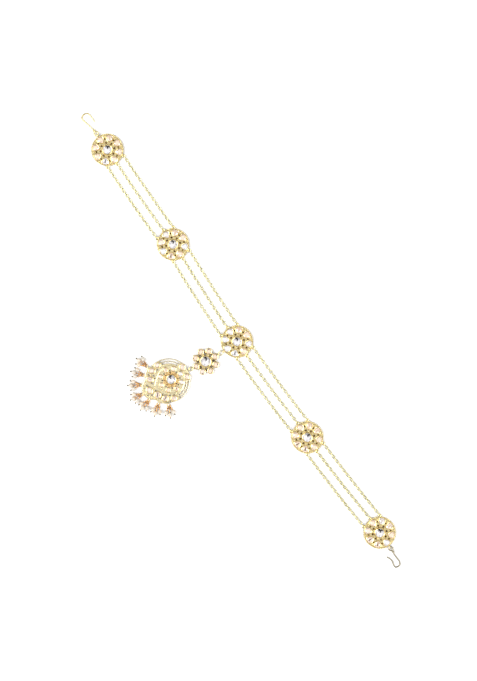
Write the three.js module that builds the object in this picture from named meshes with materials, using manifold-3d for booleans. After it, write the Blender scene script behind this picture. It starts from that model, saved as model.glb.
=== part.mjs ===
// Matha patti: a head ornament of five stone-set discs joined by three rows of chain,
// with a flower link and a moon-shaped pendant hung with pearls, lying flat.
// Millimetres, +Z up from the surface it lies on, +X along the band, the pendant towards -Y.
import * as THREE from 'three';
import { mergeVertices } from 'three/addons/utils/BufferGeometryUtils.js';
import Module from 'manifold-3d';

const wasm = await Module();
wasm.setup();

// Driving sizes of the whole piece
const CHAIN_HEIGHT = 0.95;
const CHAIN_RADIUS = 0.9;
const CHAIN_SAG = 0.3;
const CHAIN_CLEARANCE = 0.3;
const STONE_GAP = 0.3;
// Smallest detail kept when faces are merged
const FINEST = 0.03;
const PENDANT_TURN = THREE.MathUtils.degToRad(-7.5);
// How far a cutting shape reaches past the metal that it cuts
const OVERCUT = 1;
const HOLE_CUTTER_HEIGHT = 8;

// Sides of the faceted round forms
const SIDES = { stone: 10, setStone: 8, cup: 8, chain: 8, wire: 5, eye: 8, ring: 10, pearl: 10, collar: 8 };

// Wire eyes soldered to the pieces that hang or hook on
const HOOK_EYE = { ring: 0.9, wire: 0.28, height: 1.25 };
const SMALL_EYE = { ring: 0.7, wire: 0.23, height: 0.95 };

// Disc motif: an open-backed plate with a rim, a centre cup and eight pear-shaped stones
const DISC = {
  radius: 9.75, rimWidth: 0.8, rimBevel: 0.3, plateTop: 1.35, plateBottom: 0.6, sides: 16,
  petals: 8, petalRadius: 7.1, petalHeight: 1.25, petalTilt: THREE.MathUtils.degToRad(7),
  innerHoleRadius: 4.2, innerHoleSize: 0.6, outerHoleRadius: 6.9, outerHoleSize: 0.75,
  rowSpacing: 5.9, sideChainX: 8.45, middleChainX: 9.75, pendantEyeRadius: 10.3, hookEyeRadius: 10.5,
};
const DISC_CUP = { stone: 2.65, wall: 0.35, top: 2.7, floor: 1.3, table: 3.7 };
// Shares of a stone's width that its flat table and its foot take, and the drop of its edge in the cup
const TABLE_SHARE = { setStone: 0.55, round: 0.58, oval: 0.55 };
const STONE_FOOT = { share: 0.85, edgeDrop: 0.15 };
const ROUND_EDGE_DROP = 0.1;
const PETAL = { halfLength: 2.45, halfWidth: 2.05, pear: 0.35, sink: 0.25, bezel: 0.5, table: 1.0 };

// Flower link between the band and the pendant
const FLOWER = {
  x: -1.05, y: -22.2, plateRadius: 5.5, plateBottom: 0, plateTop: 1.1, sides: 8,
  petals: 8, petalRadius: 6.4, petalHeight: 1.3, petalSize: 1.95, petalSink: 1.1, petalBezel: 0.55,
  petalTable: 1.15, holeRadius: 4.35, holeSize: 0.55, eyeRadius: 8.85,
};
const FLOWER_CUP = { stone: 3.0, wall: 0.35, top: 2.1, floor: 0.9, table: 3.1 };

// Pendant, in its own frame: the centre of its round outline is the origin, +Y points up to the loop
const PENDANT = {
  x: -4.5, y: -47.1, radius: 13.2, plateBottom: 0.3, plateTop: 1.2, eyeY: 13.9,
  arcStep: 12, arcStart: -24, arcEnd: 204, hornSteps: 5,
  centreX: 0.15, centreY: 1.8, ringInner: 4.05, ringOuter: 4.75, ringTop: 1.9, ringSink: 0.2, ringSides: 16,
  petals: 8, petalRadius: 6.55, petalTurn: 3, petalHeight: 1.2,
  holeRadius: 5.5, holeSize: 0.5,
};
const PENDANT_CUP = { stone: 2.7, wall: 0.35, top: 2.5, floor: 1.2, table: 3.4 };
const MEDALLION_PETAL = { halfLength: 1.5, halfWidth: 1.3, pear: 0.1, sink: 0.6, bezel: 0.5, table: 0.9 };
const FRAME_STONE = {
  halfLength: 2.0, halfWidth: 1.55, table: 2.75, cupWall: 0.35, cupBottom: 0.6, cupFloor: 1.2, cupTop: 2.1,
};

// Pearl cluster: a ring with three pins on it, each with a pearl and a small ball at its tip.
// Distances along a pin start at the ring's wire.
const CLUSTER = {
  ring: 0.85, wire: 0.22, height: 0.95, pin: 0.2, pinTaper: 0.6, pearl: 1.3, tipBall: 0.5, tipGap: 0.15,
};

const JUMP_RING = { wire: 0.22, largest: 1.15 };

const MOTIFS = [
  { name: 'motif_1', x: -138.7, y: 2.3, hookSide: -1, pendantEye: false },
  { name: 'motif_2', x: -69.7, y: 2.0, hookSide: 0, pendantEye: false },
  { name: 'motif_3', x: 0, y: 0, hookSide: 0, pendantEye: true },
  { name: 'motif_4', x: 71.2, y: 1.6, hookSide: 0, pendantEye: false },
  { name: 'motif_5', x: 142.9, y: 4.4, hookSide: 1, pendantEye: false },
];

const ROWS = [
  { name: 'upper', side: 1 },
  { name: 'middle', side: 0 },
  { name: 'lower', side: -1 },
];

// Stones of the pendant's rim: place in the pendant's frame, turn of their long side, half sizes as a share
const FRAME_STONES = [
  { name: 'leaf_left', x: -3.2, y: 11.2, turn: 155, scale: 0.95 },
  { name: 'leaf_right', x: 3.2, y: 11.2, turn: 25, scale: 0.95 },
  { name: 'rim_1', x: -11.1, y: -1.6, turn: 262, scale: 0.85 },
  { name: 'rim_2', x: -9.7, y: -6.0, turn: 238, scale: 0.95 },
  { name: 'rim_3', x: -5.7, y: -9.4, turn: 215, scale: 1.0 },
  { name: 'rim_4', x: 0, y: -12.7, turn: 0, scale: 1.0 },
  { name: 'rim_5', x: 4.7, y: -9.6, turn: 325, scale: 1.0 },
  { name: 'rim_6', x: 8.6, y: -6.4, turn: 302, scale: 0.95 },
  { name: 'rim_7', x: 11.0, y: -1.8, turn: 278, scale: 0.85 },
];

// Pearl clusters: eye on the pendant's lower edge, and the direction in which each one fans out
const CLUSTERS = [
  { name: 'pearl_cluster_1', x: -13.2, y: -7.4, direction: 205 },
  { name: 'pearl_cluster_2', x: -9.5, y: -11.7, direction: 225 },
  { name: 'pearl_cluster_3', x: -5.2, y: -15.6, direction: 246 },
  { name: 'pearl_cluster_4', x: 0, y: -17.4, direction: 270 },
  { name: 'pearl_cluster_5', x: 5.0, y: -15.4, direction: 292 },
  { name: 'pearl_cluster_6', x: 9.4, y: -11.4, direction: 315 },
  { name: 'pearl_cluster_7', x: 12.9, y: -6.4, direction: 340 },
];

// Pins of one cluster: where each starts round the ring, its own direction, and the pearl's distance
const PINS = [
  { start: 50, direction: 24, pearl: 3.55 },
  { start: 0, direction: 0, pearl: 4.5 },
  { start: -50, direction: -24, pearl: 3.55 },
];

const GOLD = { color: '#e3c583', roughness: 0.32, metalness: 1.0 };
const DEEP_GOLD = { color: '#c98a3c', roughness: 0.35, metalness: 1.0 };
const HOOK_GOLD = { color: '#cdb98a', roughness: 0.35, metalness: 1.0 };
const STONE = { color: '#e6e3dd', roughness: 0.06, metalness: 0.1 };

const part = new THREE.Group();

// Placing, joining and cutting

function place(x, y, z, turn = 0) {
  return new THREE.Matrix4().makeTranslation(x, y, z).multiply(new THREE.Matrix4().makeRotationZ(turn));
}

function solid(geometry, matrix = new THREE.Matrix4()) {
  const bare = geometry.index ? geometry.toNonIndexed() : geometry.clone();
  bare.deleteAttribute('normal');
  bare.deleteAttribute('uv');
  bare.applyMatrix4(matrix);
  const joined = mergeVertices(bare, 1e-4);
  const corners = joined.index.array;
  const kept = [];
  for (let i = 0; i < corners.length; i += 3) {
    const [a, b, c] = [corners[i], corners[i + 1], corners[i + 2]];
    if (a !== b && b !== c && c !== a) kept.push(a, b, c);
  }
  const vertProperties = new Float32Array(joined.attributes.position.array);
  return new wasm.Manifold(new wasm.Mesh({ numProp: 3, vertProperties, triVerts: new Uint32Array(kept) }));
}

function fuse(solids) {
  return solids.reduce((whole, piece) => whole.add(piece));
}

function cut(body, tools) {
  return tools.reduce((rest, tool) => rest.subtract(tool), body);
}

function addPiece(name, body, look) {
  const mesh = body.simplify(FINEST).getMesh();
  const geometry = new THREE.BufferGeometry();
  geometry.setAttribute('position', new THREE.BufferAttribute(new Float32Array(mesh.vertProperties), 3));
  geometry.setIndex(Array.from(mesh.triVerts));
  const piece = new THREE.Mesh(geometry, new THREE.MeshStandardMaterial(look));
  piece.name = name;
  part.add(piece);
}

// Shapes that the pieces share

function turned(profile, sides, startAngle = 0) {
  const points = profile.map(([r, z]) => new THREE.Vector2(r, z));
  return new THREE.LatheGeometry(points, sides, startAngle).rotateX(Math.PI / 2);
}

// A round, faceted turning pulled out to a pear: its narrow end points to -X
function pearShaped(geometry, halfLength, halfWidth, pear) {
  const position = geometry.attributes.position;
  for (let i = 0; i < position.count; i += 1) {
    const x = position.getX(i);
    const y = position.getY(i);
    const r = Math.hypot(x, y);
    const lean = r > 0 ? 1 + pear * x / r : 1;
    position.setX(i, x * halfLength);
    position.setY(i, y * halfWidth * lean);
  }
  return geometry;
}

function eye({ ring: radius, wire }) {
  return new THREE.TorusGeometry(radius, wire, SIDES.wire, SIDES.eye).rotateX(Math.PI / 2);
}

// A closed wire ring lying flat, drawn out along X by a stretch to either side
function link({ ring: radius, wire }, stretch = 0) {
  const geometry = new THREE.TorusGeometry(radius, wire, SIDES.wire, SIDES.ring);
  const position = geometry.attributes.position;
  for (let i = 0; i < position.count; i += 1) {
    const x = position.getX(i);
    const side = Math.abs(x) < wire / 4 ? 0 : Math.sign(x);
    position.setX(i, x + side * stretch);
  }
  return geometry;
}

function wireAlong(points, radius, sides, steps) {
  const section = new THREE.Shape(
    Array.from({ length: sides }, (_, i) => {
      const angle = 2 * Math.PI * (i + 0.5) / sides;
      return new THREE.Vector2(radius * Math.cos(angle), radius * Math.sin(angle));
    }),
  );
  const route = new THREE.CatmullRomCurve3(points.map(([x, y, z]) => new THREE.Vector3(x, y, z)));
  return new THREE.ExtrudeGeometry(section, { steps, extrudePath: route, bevelEnabled: false });
}

// A stone in its bezel as one body: wall, eight sloping facets and table
function setStone({ halfLength, halfWidth, pear, sink, bezel, table }) {
  const profile = [[0, -sink], [1, -sink], [1, bezel], [TABLE_SHARE.setStone, table], [0, table]];
  return pearShaped(turned(profile, SIDES.setStone), halfLength, halfWidth, pear);
}

function looseStone({ stone, top, floor, table }) {
  const low = floor + STONE_GAP;
  const profile = [
    [0, low], [stone, low], [stone, top - ROUND_EDGE_DROP], [stone * TABLE_SHARE.round, table], [0, table],
  ];
  return turned(profile, SIDES.stone);
}

function triangleHole(radius, size, angle) {
  const corners = 3;
  const prism = new THREE.CylinderGeometry(size, size, HOLE_CUTTER_HEIGHT, corners);
  prism.rotateX(Math.PI / 2).rotateZ(Math.PI / 2);
  const turn = new THREE.Matrix4().makeRotationZ(angle);
  return solid(prism, turn.multiply(place(radius, 0, 0)));
}

// Disc motif settings and their centre stones

function discBody() {
  const { radius, rimWidth, rimBevel, plateTop, plateBottom, sides } = DISC;
  const inside = DISC_CUP.stone + STONE_GAP;
  const outside = inside + DISC_CUP.wall;
  const profile = [
    [0, 0], [outside, 0], [outside, plateBottom], [radius - rimWidth, plateBottom], [radius - rimWidth, 0],
    [radius, 0], [radius, plateTop - rimBevel], [radius - rimBevel, plateTop], [outside, plateTop],
    [outside, DISC_CUP.top], [inside, DISC_CUP.top], [inside, DISC_CUP.floor], [0, DISC_CUP.floor],
  ];
  return solid(turned(profile, sides));
}

function discPetals() {
  const tilt = new THREE.Matrix4().makeRotationY(DISC.petalTilt);
  return Array.from({ length: DISC.petals }, (_, i) => {
    const turn = new THREE.Matrix4().makeRotationZ(2 * Math.PI * i / DISC.petals);
    return solid(setStone(PETAL), turn.multiply(place(DISC.petalRadius, 0, DISC.petalHeight)).multiply(tilt));
  });
}

function discHoles() {
  const holes = [];
  for (let i = 0; i < DISC.petals; i += 1) {
    const angle = 2 * Math.PI * (i + 0.5) / DISC.petals;
    holes.push(triangleHole(DISC.innerHoleRadius, DISC.innerHoleSize, angle));
    holes.push(triangleHole(DISC.outerHoleRadius, DISC.outerHoleSize, angle));
  }
  return holes;
}

function discEyes(motif) {
  const eyes = [];
  if (motif.hookSide !== 0) {
    const x = motif.hookSide * DISC.hookEyeRadius;
    eyes.push(solid(eye(HOOK_EYE), place(x, 0, HOOK_EYE.height)));
  }
  if (motif.pendantEye) {
    const spot = place(0, -DISC.pendantEyeRadius, SMALL_EYE.height, Math.PI / 2);
    eyes.push(solid(eye(SMALL_EYE), spot));
  }
  return eyes;
}

const discPlate = cut(fuse([discBody(), ...discPetals()]), discHoles());
const discStone = solid(looseStone(DISC_CUP));

for (const motif of MOTIFS) {
  const spot = [motif.x, motif.y, 0];
  addPiece(`${motif.name}_setting`, fuse([discPlate, ...discEyes(motif)]).translate(spot), GOLD);
  addPiece(`${motif.name}_centre_stone`, discStone.translate(spot), STONE);
}

// Chains: three rows in each span, each one the tube that its links fill

const CHAIN_STEPS = 4;

for (let span = 0; span < MOTIFS.length - 1; span += 1) {
  const [from, to] = [MOTIFS[span], MOTIFS[span + 1]];
  for (const row of ROWS) {
    const reach = CHAIN_CLEARANCE + (row.side === 0 ? DISC.middleChainX : DISC.sideChainX);
    const start = [from.x + reach, from.y + row.side * DISC.rowSpacing, CHAIN_HEIGHT];
    const end = [to.x - reach, to.y + row.side * DISC.rowSpacing, CHAIN_HEIGHT];
    const middle = [(start[0] + end[0]) / 2, (start[1] + end[1]) / 2 - CHAIN_SAG, CHAIN_HEIGHT];
    const tube = wireAlong([start, middle, end], CHAIN_RADIUS, SIDES.chain, CHAIN_STEPS);
    addPiece(`chain_${span + 1}_${row.name}`, solid(tube), GOLD);
  }
}

// Hooks: a round eye, a collar where the wire is closed, a long leg, the bend and a short free leg

const HOOK = {
  wire: 0.38, eye: 1.25, collar: 0.68, collarLength: 1.3, collarOverlap: 0.3, restHeight: 0.38, steps: 16,
};

// Routes along and across the band from the eye's centre, growing outwards along the leg
const HOOK_LEFT_ROUTE = [
  { along: 1.3, across: 0.05 }, { along: 7.5, across: -1.0 }, { along: 11.9, across: -1.85 },
  { along: 13.6, across: -0.7 }, { along: 13.75, across: 1.3 }, { along: 12.8, across: 2.9 },
  { along: 10.2, across: 3.3 }, { along: 6.3, across: 3.15 },
];
const HOOK_RIGHT_ROUTE = [
  { along: 1.3, across: 0.05 }, { along: 5.0, across: -0.35 }, { along: 9.0, across: -0.15 },
  { along: 11.1, across: -1.2 }, { along: 11.2, across: -3.4 }, { along: 9.9, across: -4.35 },
  { along: 6.2, across: -3.6 }, { along: 2.6, across: -4.8 },
];

function hook(motif, route) {
  const side = motif.hookSide;
  const eyeX = motif.x + side * (DISC.hookEyeRadius + HOOK.eye);
  const furthest = Math.max(...route.map((point) => point.along));
  const slope = Math.atan((HOOK_EYE.height - HOOK.restHeight) / furthest);
  const points = route.map(({ along, across }) => [along, across, 0]);
  const collarMiddle = HOOK.eye + HOOK.wire + HOOK.collarLength / 2 - HOOK.collarOverlap;
  const collar = new THREE.CylinderGeometry(HOOK.collar, HOOK.collar, HOOK.collarLength, SIDES.collar);
  const flat = fuse([
    solid(link({ ring: HOOK.eye, wire: HOOK.wire })),
    solid(collar.rotateZ(Math.PI / 2), place(collarMiddle, 0, 0)),
    solid(wireAlong(points, HOOK.wire, SIDES.wire, HOOK.steps)),
  ]);
  const tiltDegrees = THREE.MathUtils.radToDeg(slope);
  const outwards = side > 0 ? flat : flat.mirror([1, 0, 0]);
  return outwards.rotate([0, side * tiltDegrees, 0]).translate([eyeX, motif.y, HOOK_EYE.height]);
}

addPiece('hook_left', hook(MOTIFS[0], HOOK_LEFT_ROUTE), HOOK_GOLD);
addPiece('hook_right', hook(MOTIFS[4], HOOK_RIGHT_ROUTE), HOOK_GOLD);

// Flower link

function flowerBody() {
  const { plateRadius, plateBottom, plateTop, sides } = FLOWER;
  const inside = FLOWER_CUP.stone + STONE_GAP;
  const outside = inside + FLOWER_CUP.wall;
  const profile = [
    [0, plateBottom], [plateRadius, plateBottom], [plateRadius, plateTop], [outside, plateTop],
    [outside, FLOWER_CUP.top], [inside, FLOWER_CUP.top], [inside, FLOWER_CUP.floor], [0, FLOWER_CUP.floor],
  ];
  return solid(turned(profile, sides, Math.PI / sides));
}

const flowerPetalShape = {
  halfLength: FLOWER.petalSize, halfWidth: FLOWER.petalSize, pear: 0,
  sink: FLOWER.petalSink, bezel: FLOWER.petalBezel, table: FLOWER.petalTable,
};
const flowerPetals = Array.from({ length: FLOWER.petals }, (_, i) => {
  const turn = new THREE.Matrix4().makeRotationZ(2 * Math.PI * i / FLOWER.petals);
  return solid(setStone(flowerPetalShape), turn.multiply(place(FLOWER.petalRadius, 0, FLOWER.petalHeight)));
});
const flowerHoles = Array.from({ length: FLOWER.petals }, (_, i) => {
  const angle = 2 * Math.PI * (i + 0.5) / FLOWER.petals;
  return triangleHole(FLOWER.holeRadius, FLOWER.holeSize, angle);
});
const flowerEyes = [-1, 1].map((end) => (
  solid(eye(SMALL_EYE), place(0, end * FLOWER.eyeRadius, SMALL_EYE.height, Math.PI / 2))
));
const flowerPlace = place(FLOWER.x, FLOWER.y, 0, PENDANT_TURN);
const flower = fuse([cut(fuse([flowerBody(), ...flowerPetals]), flowerHoles), ...flowerEyes]);
addPiece('flower_setting', flower.transform(flowerPlace.elements), GOLD);
addPiece('flower_centre_stone', solid(looseStone(FLOWER_CUP), flowerPlace), STONE);

// Pendant frame with its medallion, rim stones and edge eyes

const degrees = THREE.MathUtils.degToRad;
const onCircle = (radius, angle) => [radius * Math.cos(degrees(angle)), radius * Math.sin(degrees(angle))];

// The frame's scalloped lower edge, from its left corner to its right one
const LOWER_EDGE = [
  { x: -12.9, y: -7.7 }, { x: -9.6, y: -11.0 }, { x: -7.0, y: -12.4 }, { x: -5.4, y: -14.9 },
  { x: -3.2, y: -16.4 }, { x: 0, y: -17.2 }, { x: 3.2, y: -16.3 }, { x: 5.2, y: -14.7 },
  { x: 6.9, y: -12.2 }, { x: 9.4, y: -10.8 }, { x: 12.6, y: -6.6 },
];

function outline() {
  const { radius, arcStart, arcStep, arcEnd } = PENDANT;
  const shape = new THREE.Shape();
  shape.moveTo(...onCircle(radius, arcStart));
  for (let angle = arcStart + arcStep; angle <= arcEnd; angle += arcStep) shape.lineTo(...onCircle(radius, angle));
  for (const { x, y } of LOWER_EDGE) shape.lineTo(x, y);
  shape.closePath();
  return shape;
}

// One open gap between two wires of a horn, as a band from the first angle to the last
function hornGap(inner, outer, from, to) {
  const gap = new THREE.Path();
  const angles = Array.from({ length: PENDANT.hornSteps + 1 }, (_, i) => from + (to - from) * i / PENDANT.hornSteps);
  const outerEdge = angles.map((angle) => onCircle(outer, angle));
  const innerEdge = angles.map((angle) => onCircle(inner, angle)).reverse();
  const [first, ...rest] = [...outerEdge, ...innerEdge];
  gap.moveTo(...first);
  for (const [x, y] of rest) gap.lineTo(x, y);
  gap.closePath();
  return gap;
}

const HORN_GAPS = [
  { inner: 11.75, outer: 12.6, from: 8, to: 60 },
  { inner: 10.2, outer: 11.1, from: 12, to: 56 },
  { inner: 11.75, outer: 12.6, from: 120, to: 176 },
  { inner: 10.2, outer: 11.1, from: 124, to: 172 },
];

function pendantPlate() {
  const shape = outline();
  for (const { inner, outer, from, to } of HORN_GAPS) shape.holes.push(hornGap(inner, outer, from, to));
  const depth = PENDANT.plateTop - PENDANT.plateBottom;
  const plate = new THREE.ExtrudeGeometry(shape, { depth, bevelEnabled: false });
  return solid(plate, place(0, 0, PENDANT.plateBottom));
}

function frameStoneSize(scale) {
  return { length: FRAME_STONE.halfLength * scale, width: FRAME_STONE.halfWidth * scale };
}

function ovalBlock(halfLength, halfWidth, bottom, top) {
  return pearShaped(turned([[0, bottom], [1, bottom], [1, top], [0, top]], SIDES.cup), halfLength, halfWidth, 0);
}

const frameCups = FRAME_STONES.map(({ x, y, turn, scale }) => {
  const { length, width } = frameStoneSize(scale);
  const { cupWall, cupBottom, cupTop, cupFloor } = FRAME_STONE;
  const grow = STONE_GAP + cupWall;
  const outer = ovalBlock(length + grow, width + grow, cupBottom, cupTop);
  const inner = ovalBlock(length + STONE_GAP, width + STONE_GAP, cupFloor, cupTop + OVERCUT);
  const spot = place(x, y, 0, degrees(turn));
  return { outer: solid(outer, spot), inner: solid(inner, spot) };
});

function frameStone(scale) {
  const { length, width } = frameStoneSize(scale);
  const { cupFloor, cupTop, table } = FRAME_STONE;
  const low = cupFloor + STONE_GAP;
  const profile = [
    [0, low], [STONE_FOOT.share, low], [1, cupTop - STONE_FOOT.edgeDrop], [TABLE_SHARE.oval, table], [0, table],
  ];
  return pearShaped(turned(profile, SIDES.cup), length, width, 0);
}

const centre = place(PENDANT.centreX, PENDANT.centreY, 0);
const centreInside = PENDANT_CUP.stone + STONE_GAP;
const centreCup = turned([
  [0, FRAME_STONE.cupBottom], [centreInside + PENDANT_CUP.wall, FRAME_STONE.cupBottom],
  [centreInside + PENDANT_CUP.wall, PENDANT_CUP.top], [0, PENDANT_CUP.top],
], PENDANT.ringSides);
const centreHollow = turned([
  [0, PENDANT_CUP.floor], [centreInside, PENDANT_CUP.floor], [centreInside, PENDANT_CUP.top + OVERCUT],
  [0, PENDANT_CUP.top + OVERCUT],
], PENDANT.ringSides);
const ringFoot = PENDANT.plateTop - PENDANT.ringSink;
const centreRing = turned([
  [PENDANT.ringInner, ringFoot], [PENDANT.ringOuter, ringFoot], [PENDANT.ringOuter, PENDANT.ringTop],
  [PENDANT.ringInner, PENDANT.ringTop], [PENDANT.ringInner, ringFoot],
], PENDANT.ringSides);

const medallionPetals = Array.from({ length: PENDANT.petals }, (_, i) => {
  const angle = degrees(90 + PENDANT.petalTurn) + 2 * Math.PI * i / PENDANT.petals;
  const [x, y] = [PENDANT.petalRadius * Math.cos(angle), PENDANT.petalRadius * Math.sin(angle)];
  const spot = centre.clone().multiply(place(x, y, PENDANT.petalHeight, angle));
  return solid(setStone(MEDALLION_PETAL), spot);
});
const medallionHoles = Array.from({ length: PENDANT.petals }, (_, i) => {
  const angle = degrees(90 + PENDANT.petalTurn) + 2 * Math.PI * (i + 0.5) / PENDANT.petals;
  const hole = triangleHole(PENDANT.holeRadius, PENDANT.holeSize, angle);
  return hole.translate([PENDANT.centreX, PENDANT.centreY, 0]);
});

const edgeEyes = CLUSTERS.map(({ x, y, direction }) => (
  solid(eye(SMALL_EYE), place(x, y, SMALL_EYE.height, degrees(direction)))
));
const topEye = solid(eye(SMALL_EYE), place(0, PENDANT.eyeY, SMALL_EYE.height, Math.PI / 2));

const pendantPlace = place(PENDANT.x, PENDANT.y, 0, PENDANT_TURN);
const pendantMetal = fuse([
  pendantPlate(), ...frameCups.map((cup) => cup.outer), solid(centreCup, centre), solid(centreRing, centre),
  ...medallionPetals,
]);
const pendantCut = cut(pendantMetal, [
  ...frameCups.map((cup) => cup.inner), solid(centreHollow, centre), ...medallionHoles,
]);
const pendant = fuse([pendantCut, ...edgeEyes, topEye]);
addPiece('pendant_frame', pendant.transform(pendantPlace.elements), GOLD);
const pendantStone = solid(looseStone(PENDANT_CUP), centre);
addPiece('pendant_centre_stone', pendantStone.transform(pendantPlace.elements), STONE);
for (const { name, x, y, turn, scale } of FRAME_STONES) {
  const stone = solid(frameStone(scale), place(x, y, 0, degrees(turn)));
  addPiece(`pendant_${name}_stone`, stone.transform(pendantPlace.elements), STONE);
}

// Jump rings that join the band, the flower link and the pendant

function jumpRing(fromPoint, toPoint) {
  const middle = fromPoint.clone().add(toPoint).multiplyScalar(0.5);
  const half = fromPoint.distanceTo(toPoint) / 2;
  const direction = toPoint.clone().sub(fromPoint);
  const turn = Math.atan2(direction.y, direction.x);
  const radius = Math.min(half, JUMP_RING.largest);
  const oval = link({ ring: radius, wire: JUMP_RING.wire }, half - radius);
  return solid(oval, place(middle.x, middle.y, SMALL_EYE.height, turn));
}

const bandEye = new THREE.Vector3(0, -DISC.pendantEyeRadius, 0);
const flowerTopEye = new THREE.Vector3(0, FLOWER.eyeRadius, 0).applyMatrix4(flowerPlace);
const flowerLowEye = new THREE.Vector3(0, -FLOWER.eyeRadius, 0).applyMatrix4(flowerPlace);
const pendantEye = new THREE.Vector3(0, PENDANT.eyeY, 0).applyMatrix4(pendantPlace);
addPiece('jump_ring_upper', jumpRing(bandEye, flowerTopEye), GOLD);
addPiece('jump_ring_lower', jumpRing(flowerLowEye, pendantEye), GOLD);

// Pearl clusters

// Pin, pearl and tip ball as one turning about the pin
function pearlPin(distance) {
  const { pin, pinTaper, pearl, tipBall, tipGap } = CLUSTER;
  const tip = distance + pearl + tipGap + tipBall;
  const bulge = Math.SQRT1_2 * pearl;
  const profile = [
    [0, 0], [pin, pinTaper], [pin, distance - pearl], [bulge, distance - bulge], [pearl, distance],
    [bulge, distance + bulge], [pin, distance + pearl], [tipBall, tip], [0, tip + tipBall],
  ];
  return turned(profile, SIDES.pearl).rotateY(Math.PI / 2);
}

function cluster() {
  const bodies = [solid(link(CLUSTER), place(CLUSTER.ring, 0, CLUSTER.height))];
  for (const { start, direction, pearl } of PINS) {
    const [x, y] = onCircle(CLUSTER.ring, start);
    const rise = new THREE.Matrix4().makeRotationY(-Math.asin((CLUSTER.pearl - CLUSTER.height) / pearl));
    const spot = place(CLUSTER.ring + x, y, CLUSTER.height, degrees(direction)).multiply(rise);
    bodies.push(solid(pearlPin(pearl), spot));
  }
  return fuse(bodies);
}

const clusterBody = cluster();
for (const { name, x, y, direction } of CLUSTERS) {
  const spot = pendantPlace.clone().multiply(place(x, y, 0, degrees(direction)));
  addPiece(name, clusterBody.transform(spot.elements), DEEP_GOLD);
}

// The origin is the middle of the whole piece, on the surface it lies on

const box = new THREE.Box3().setFromObject(part);
const middle = box.getCenter(new THREE.Vector3());
part.position.set(-middle.x, -middle.y, -box.min.z);

export default part;
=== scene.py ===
import math
import random

import bmesh
import bpy
from mathutils import Matrix, Vector
from mathutils.geometry import tessellate_polygon


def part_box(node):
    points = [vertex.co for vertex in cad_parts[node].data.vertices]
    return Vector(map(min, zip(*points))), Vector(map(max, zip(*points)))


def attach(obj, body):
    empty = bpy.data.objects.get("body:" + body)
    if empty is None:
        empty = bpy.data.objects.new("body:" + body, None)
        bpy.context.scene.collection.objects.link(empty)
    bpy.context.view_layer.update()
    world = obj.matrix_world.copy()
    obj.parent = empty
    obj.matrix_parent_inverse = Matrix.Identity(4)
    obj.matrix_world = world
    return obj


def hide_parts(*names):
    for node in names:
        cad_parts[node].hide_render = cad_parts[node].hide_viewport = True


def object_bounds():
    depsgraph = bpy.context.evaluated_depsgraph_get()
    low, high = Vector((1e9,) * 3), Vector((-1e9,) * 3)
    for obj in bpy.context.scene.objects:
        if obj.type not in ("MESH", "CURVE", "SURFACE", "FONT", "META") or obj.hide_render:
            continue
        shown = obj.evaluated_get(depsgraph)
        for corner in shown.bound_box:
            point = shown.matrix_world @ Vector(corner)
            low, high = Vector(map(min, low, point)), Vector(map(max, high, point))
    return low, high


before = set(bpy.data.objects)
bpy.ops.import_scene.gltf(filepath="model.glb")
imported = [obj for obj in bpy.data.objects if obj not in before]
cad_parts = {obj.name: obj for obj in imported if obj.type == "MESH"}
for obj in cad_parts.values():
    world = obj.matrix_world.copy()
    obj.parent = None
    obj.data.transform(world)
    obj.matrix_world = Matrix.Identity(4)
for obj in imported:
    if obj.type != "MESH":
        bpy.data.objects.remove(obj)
cad_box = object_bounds()


# The board, the light and the camera. The ornament lies on matt white card in a white studio tent, which
# has one darker side for the gold and the stones to mirror, and is seen from straight above. The camera
# is turned by the angle at which the band crosses the picture.
class Socket:
    """A number in a node tree. Python's operators on it add the Math nodes."""

    def __init__(self, nodes, socket):
        self.nodes = nodes
        self.socket = socket

    def __add__(self, other):
        return self.nodes.math("ADD", self, other)

    def __radd__(self, other):
        return self.nodes.math("ADD", other, self)

    def __sub__(self, other):
        return self.nodes.math("SUBTRACT", self, other)

    def __rsub__(self, other):
        return self.nodes.math("SUBTRACT", other, self)

    def __mul__(self, other):
        return self.nodes.math("MULTIPLY", self, other)

    def __rmul__(self, other):
        return self.nodes.math("MULTIPLY", other, self)

    def __truediv__(self, other):
        return self.nodes.math("DIVIDE", self, other)

    def __gt__(self, other):
        return self.nodes.math("GREATER_THAN", self, other)

    def between(self, low, high):
        """0 below the low value, 1 above the high one, and smooth from one to the other."""
        sockets = {"Value": self, "From Min": low, "From Max": high}
        return self.nodes.node("ShaderNodeMapRange", {"interpolation_type": "SMOOTHSTEP"}, sockets)


class Nodes:
    """Adds nodes to a tree: the kind, then its settings, then the values or links of its sockets."""

    def __init__(self, tree):
        self.tree = tree

    def node(self, kind, settings=None, sockets=None, output=0):
        made = self.tree.nodes.new(kind)
        for name, value in (settings or {}).items():
            setattr(made, name, value)
        self.fill(made, sockets or {})
        return Socket(self, made.outputs[output])

    def fill(self, made, sockets):
        """Gives the sockets of a node their values, or links from one socket or a list of them."""
        for name, value in sockets.items():
            if isinstance(value, (list, Socket)):
                for one in value if isinstance(value, list) else [value]:
                    self.tree.links.new(one.socket, made.inputs[name])
            else:
                made.inputs[name].default_value = value

    def math(self, operation, first, second=0.0):
        return self.node("ShaderNodeMath", {"operation": operation}, {0: first, 1: second})

    def mix(self, share, first, second):
        """One colour turning into another."""
        return self.node("ShaderNodeMix", {"data_type": "RGBA"}, {0: share, 6: first, 7: second}, output=2)

    def noise(self, where, scale, detail=3.0):
        return self.node("ShaderNodeTexNoise", None, {"Vector": where, "Scale": scale, "Detail": detail})


def colour(red, green, blue):
    """A colour named by its screen values from 0 to 255, as the light values that nodes take."""
    def light(value):
        share = value / 255
        return share / 12.92 if share <= 0.04045 else ((share + 0.055) / 1.055) ** 2.4
    return (light(red), light(green), light(blue), 1.0)


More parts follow.
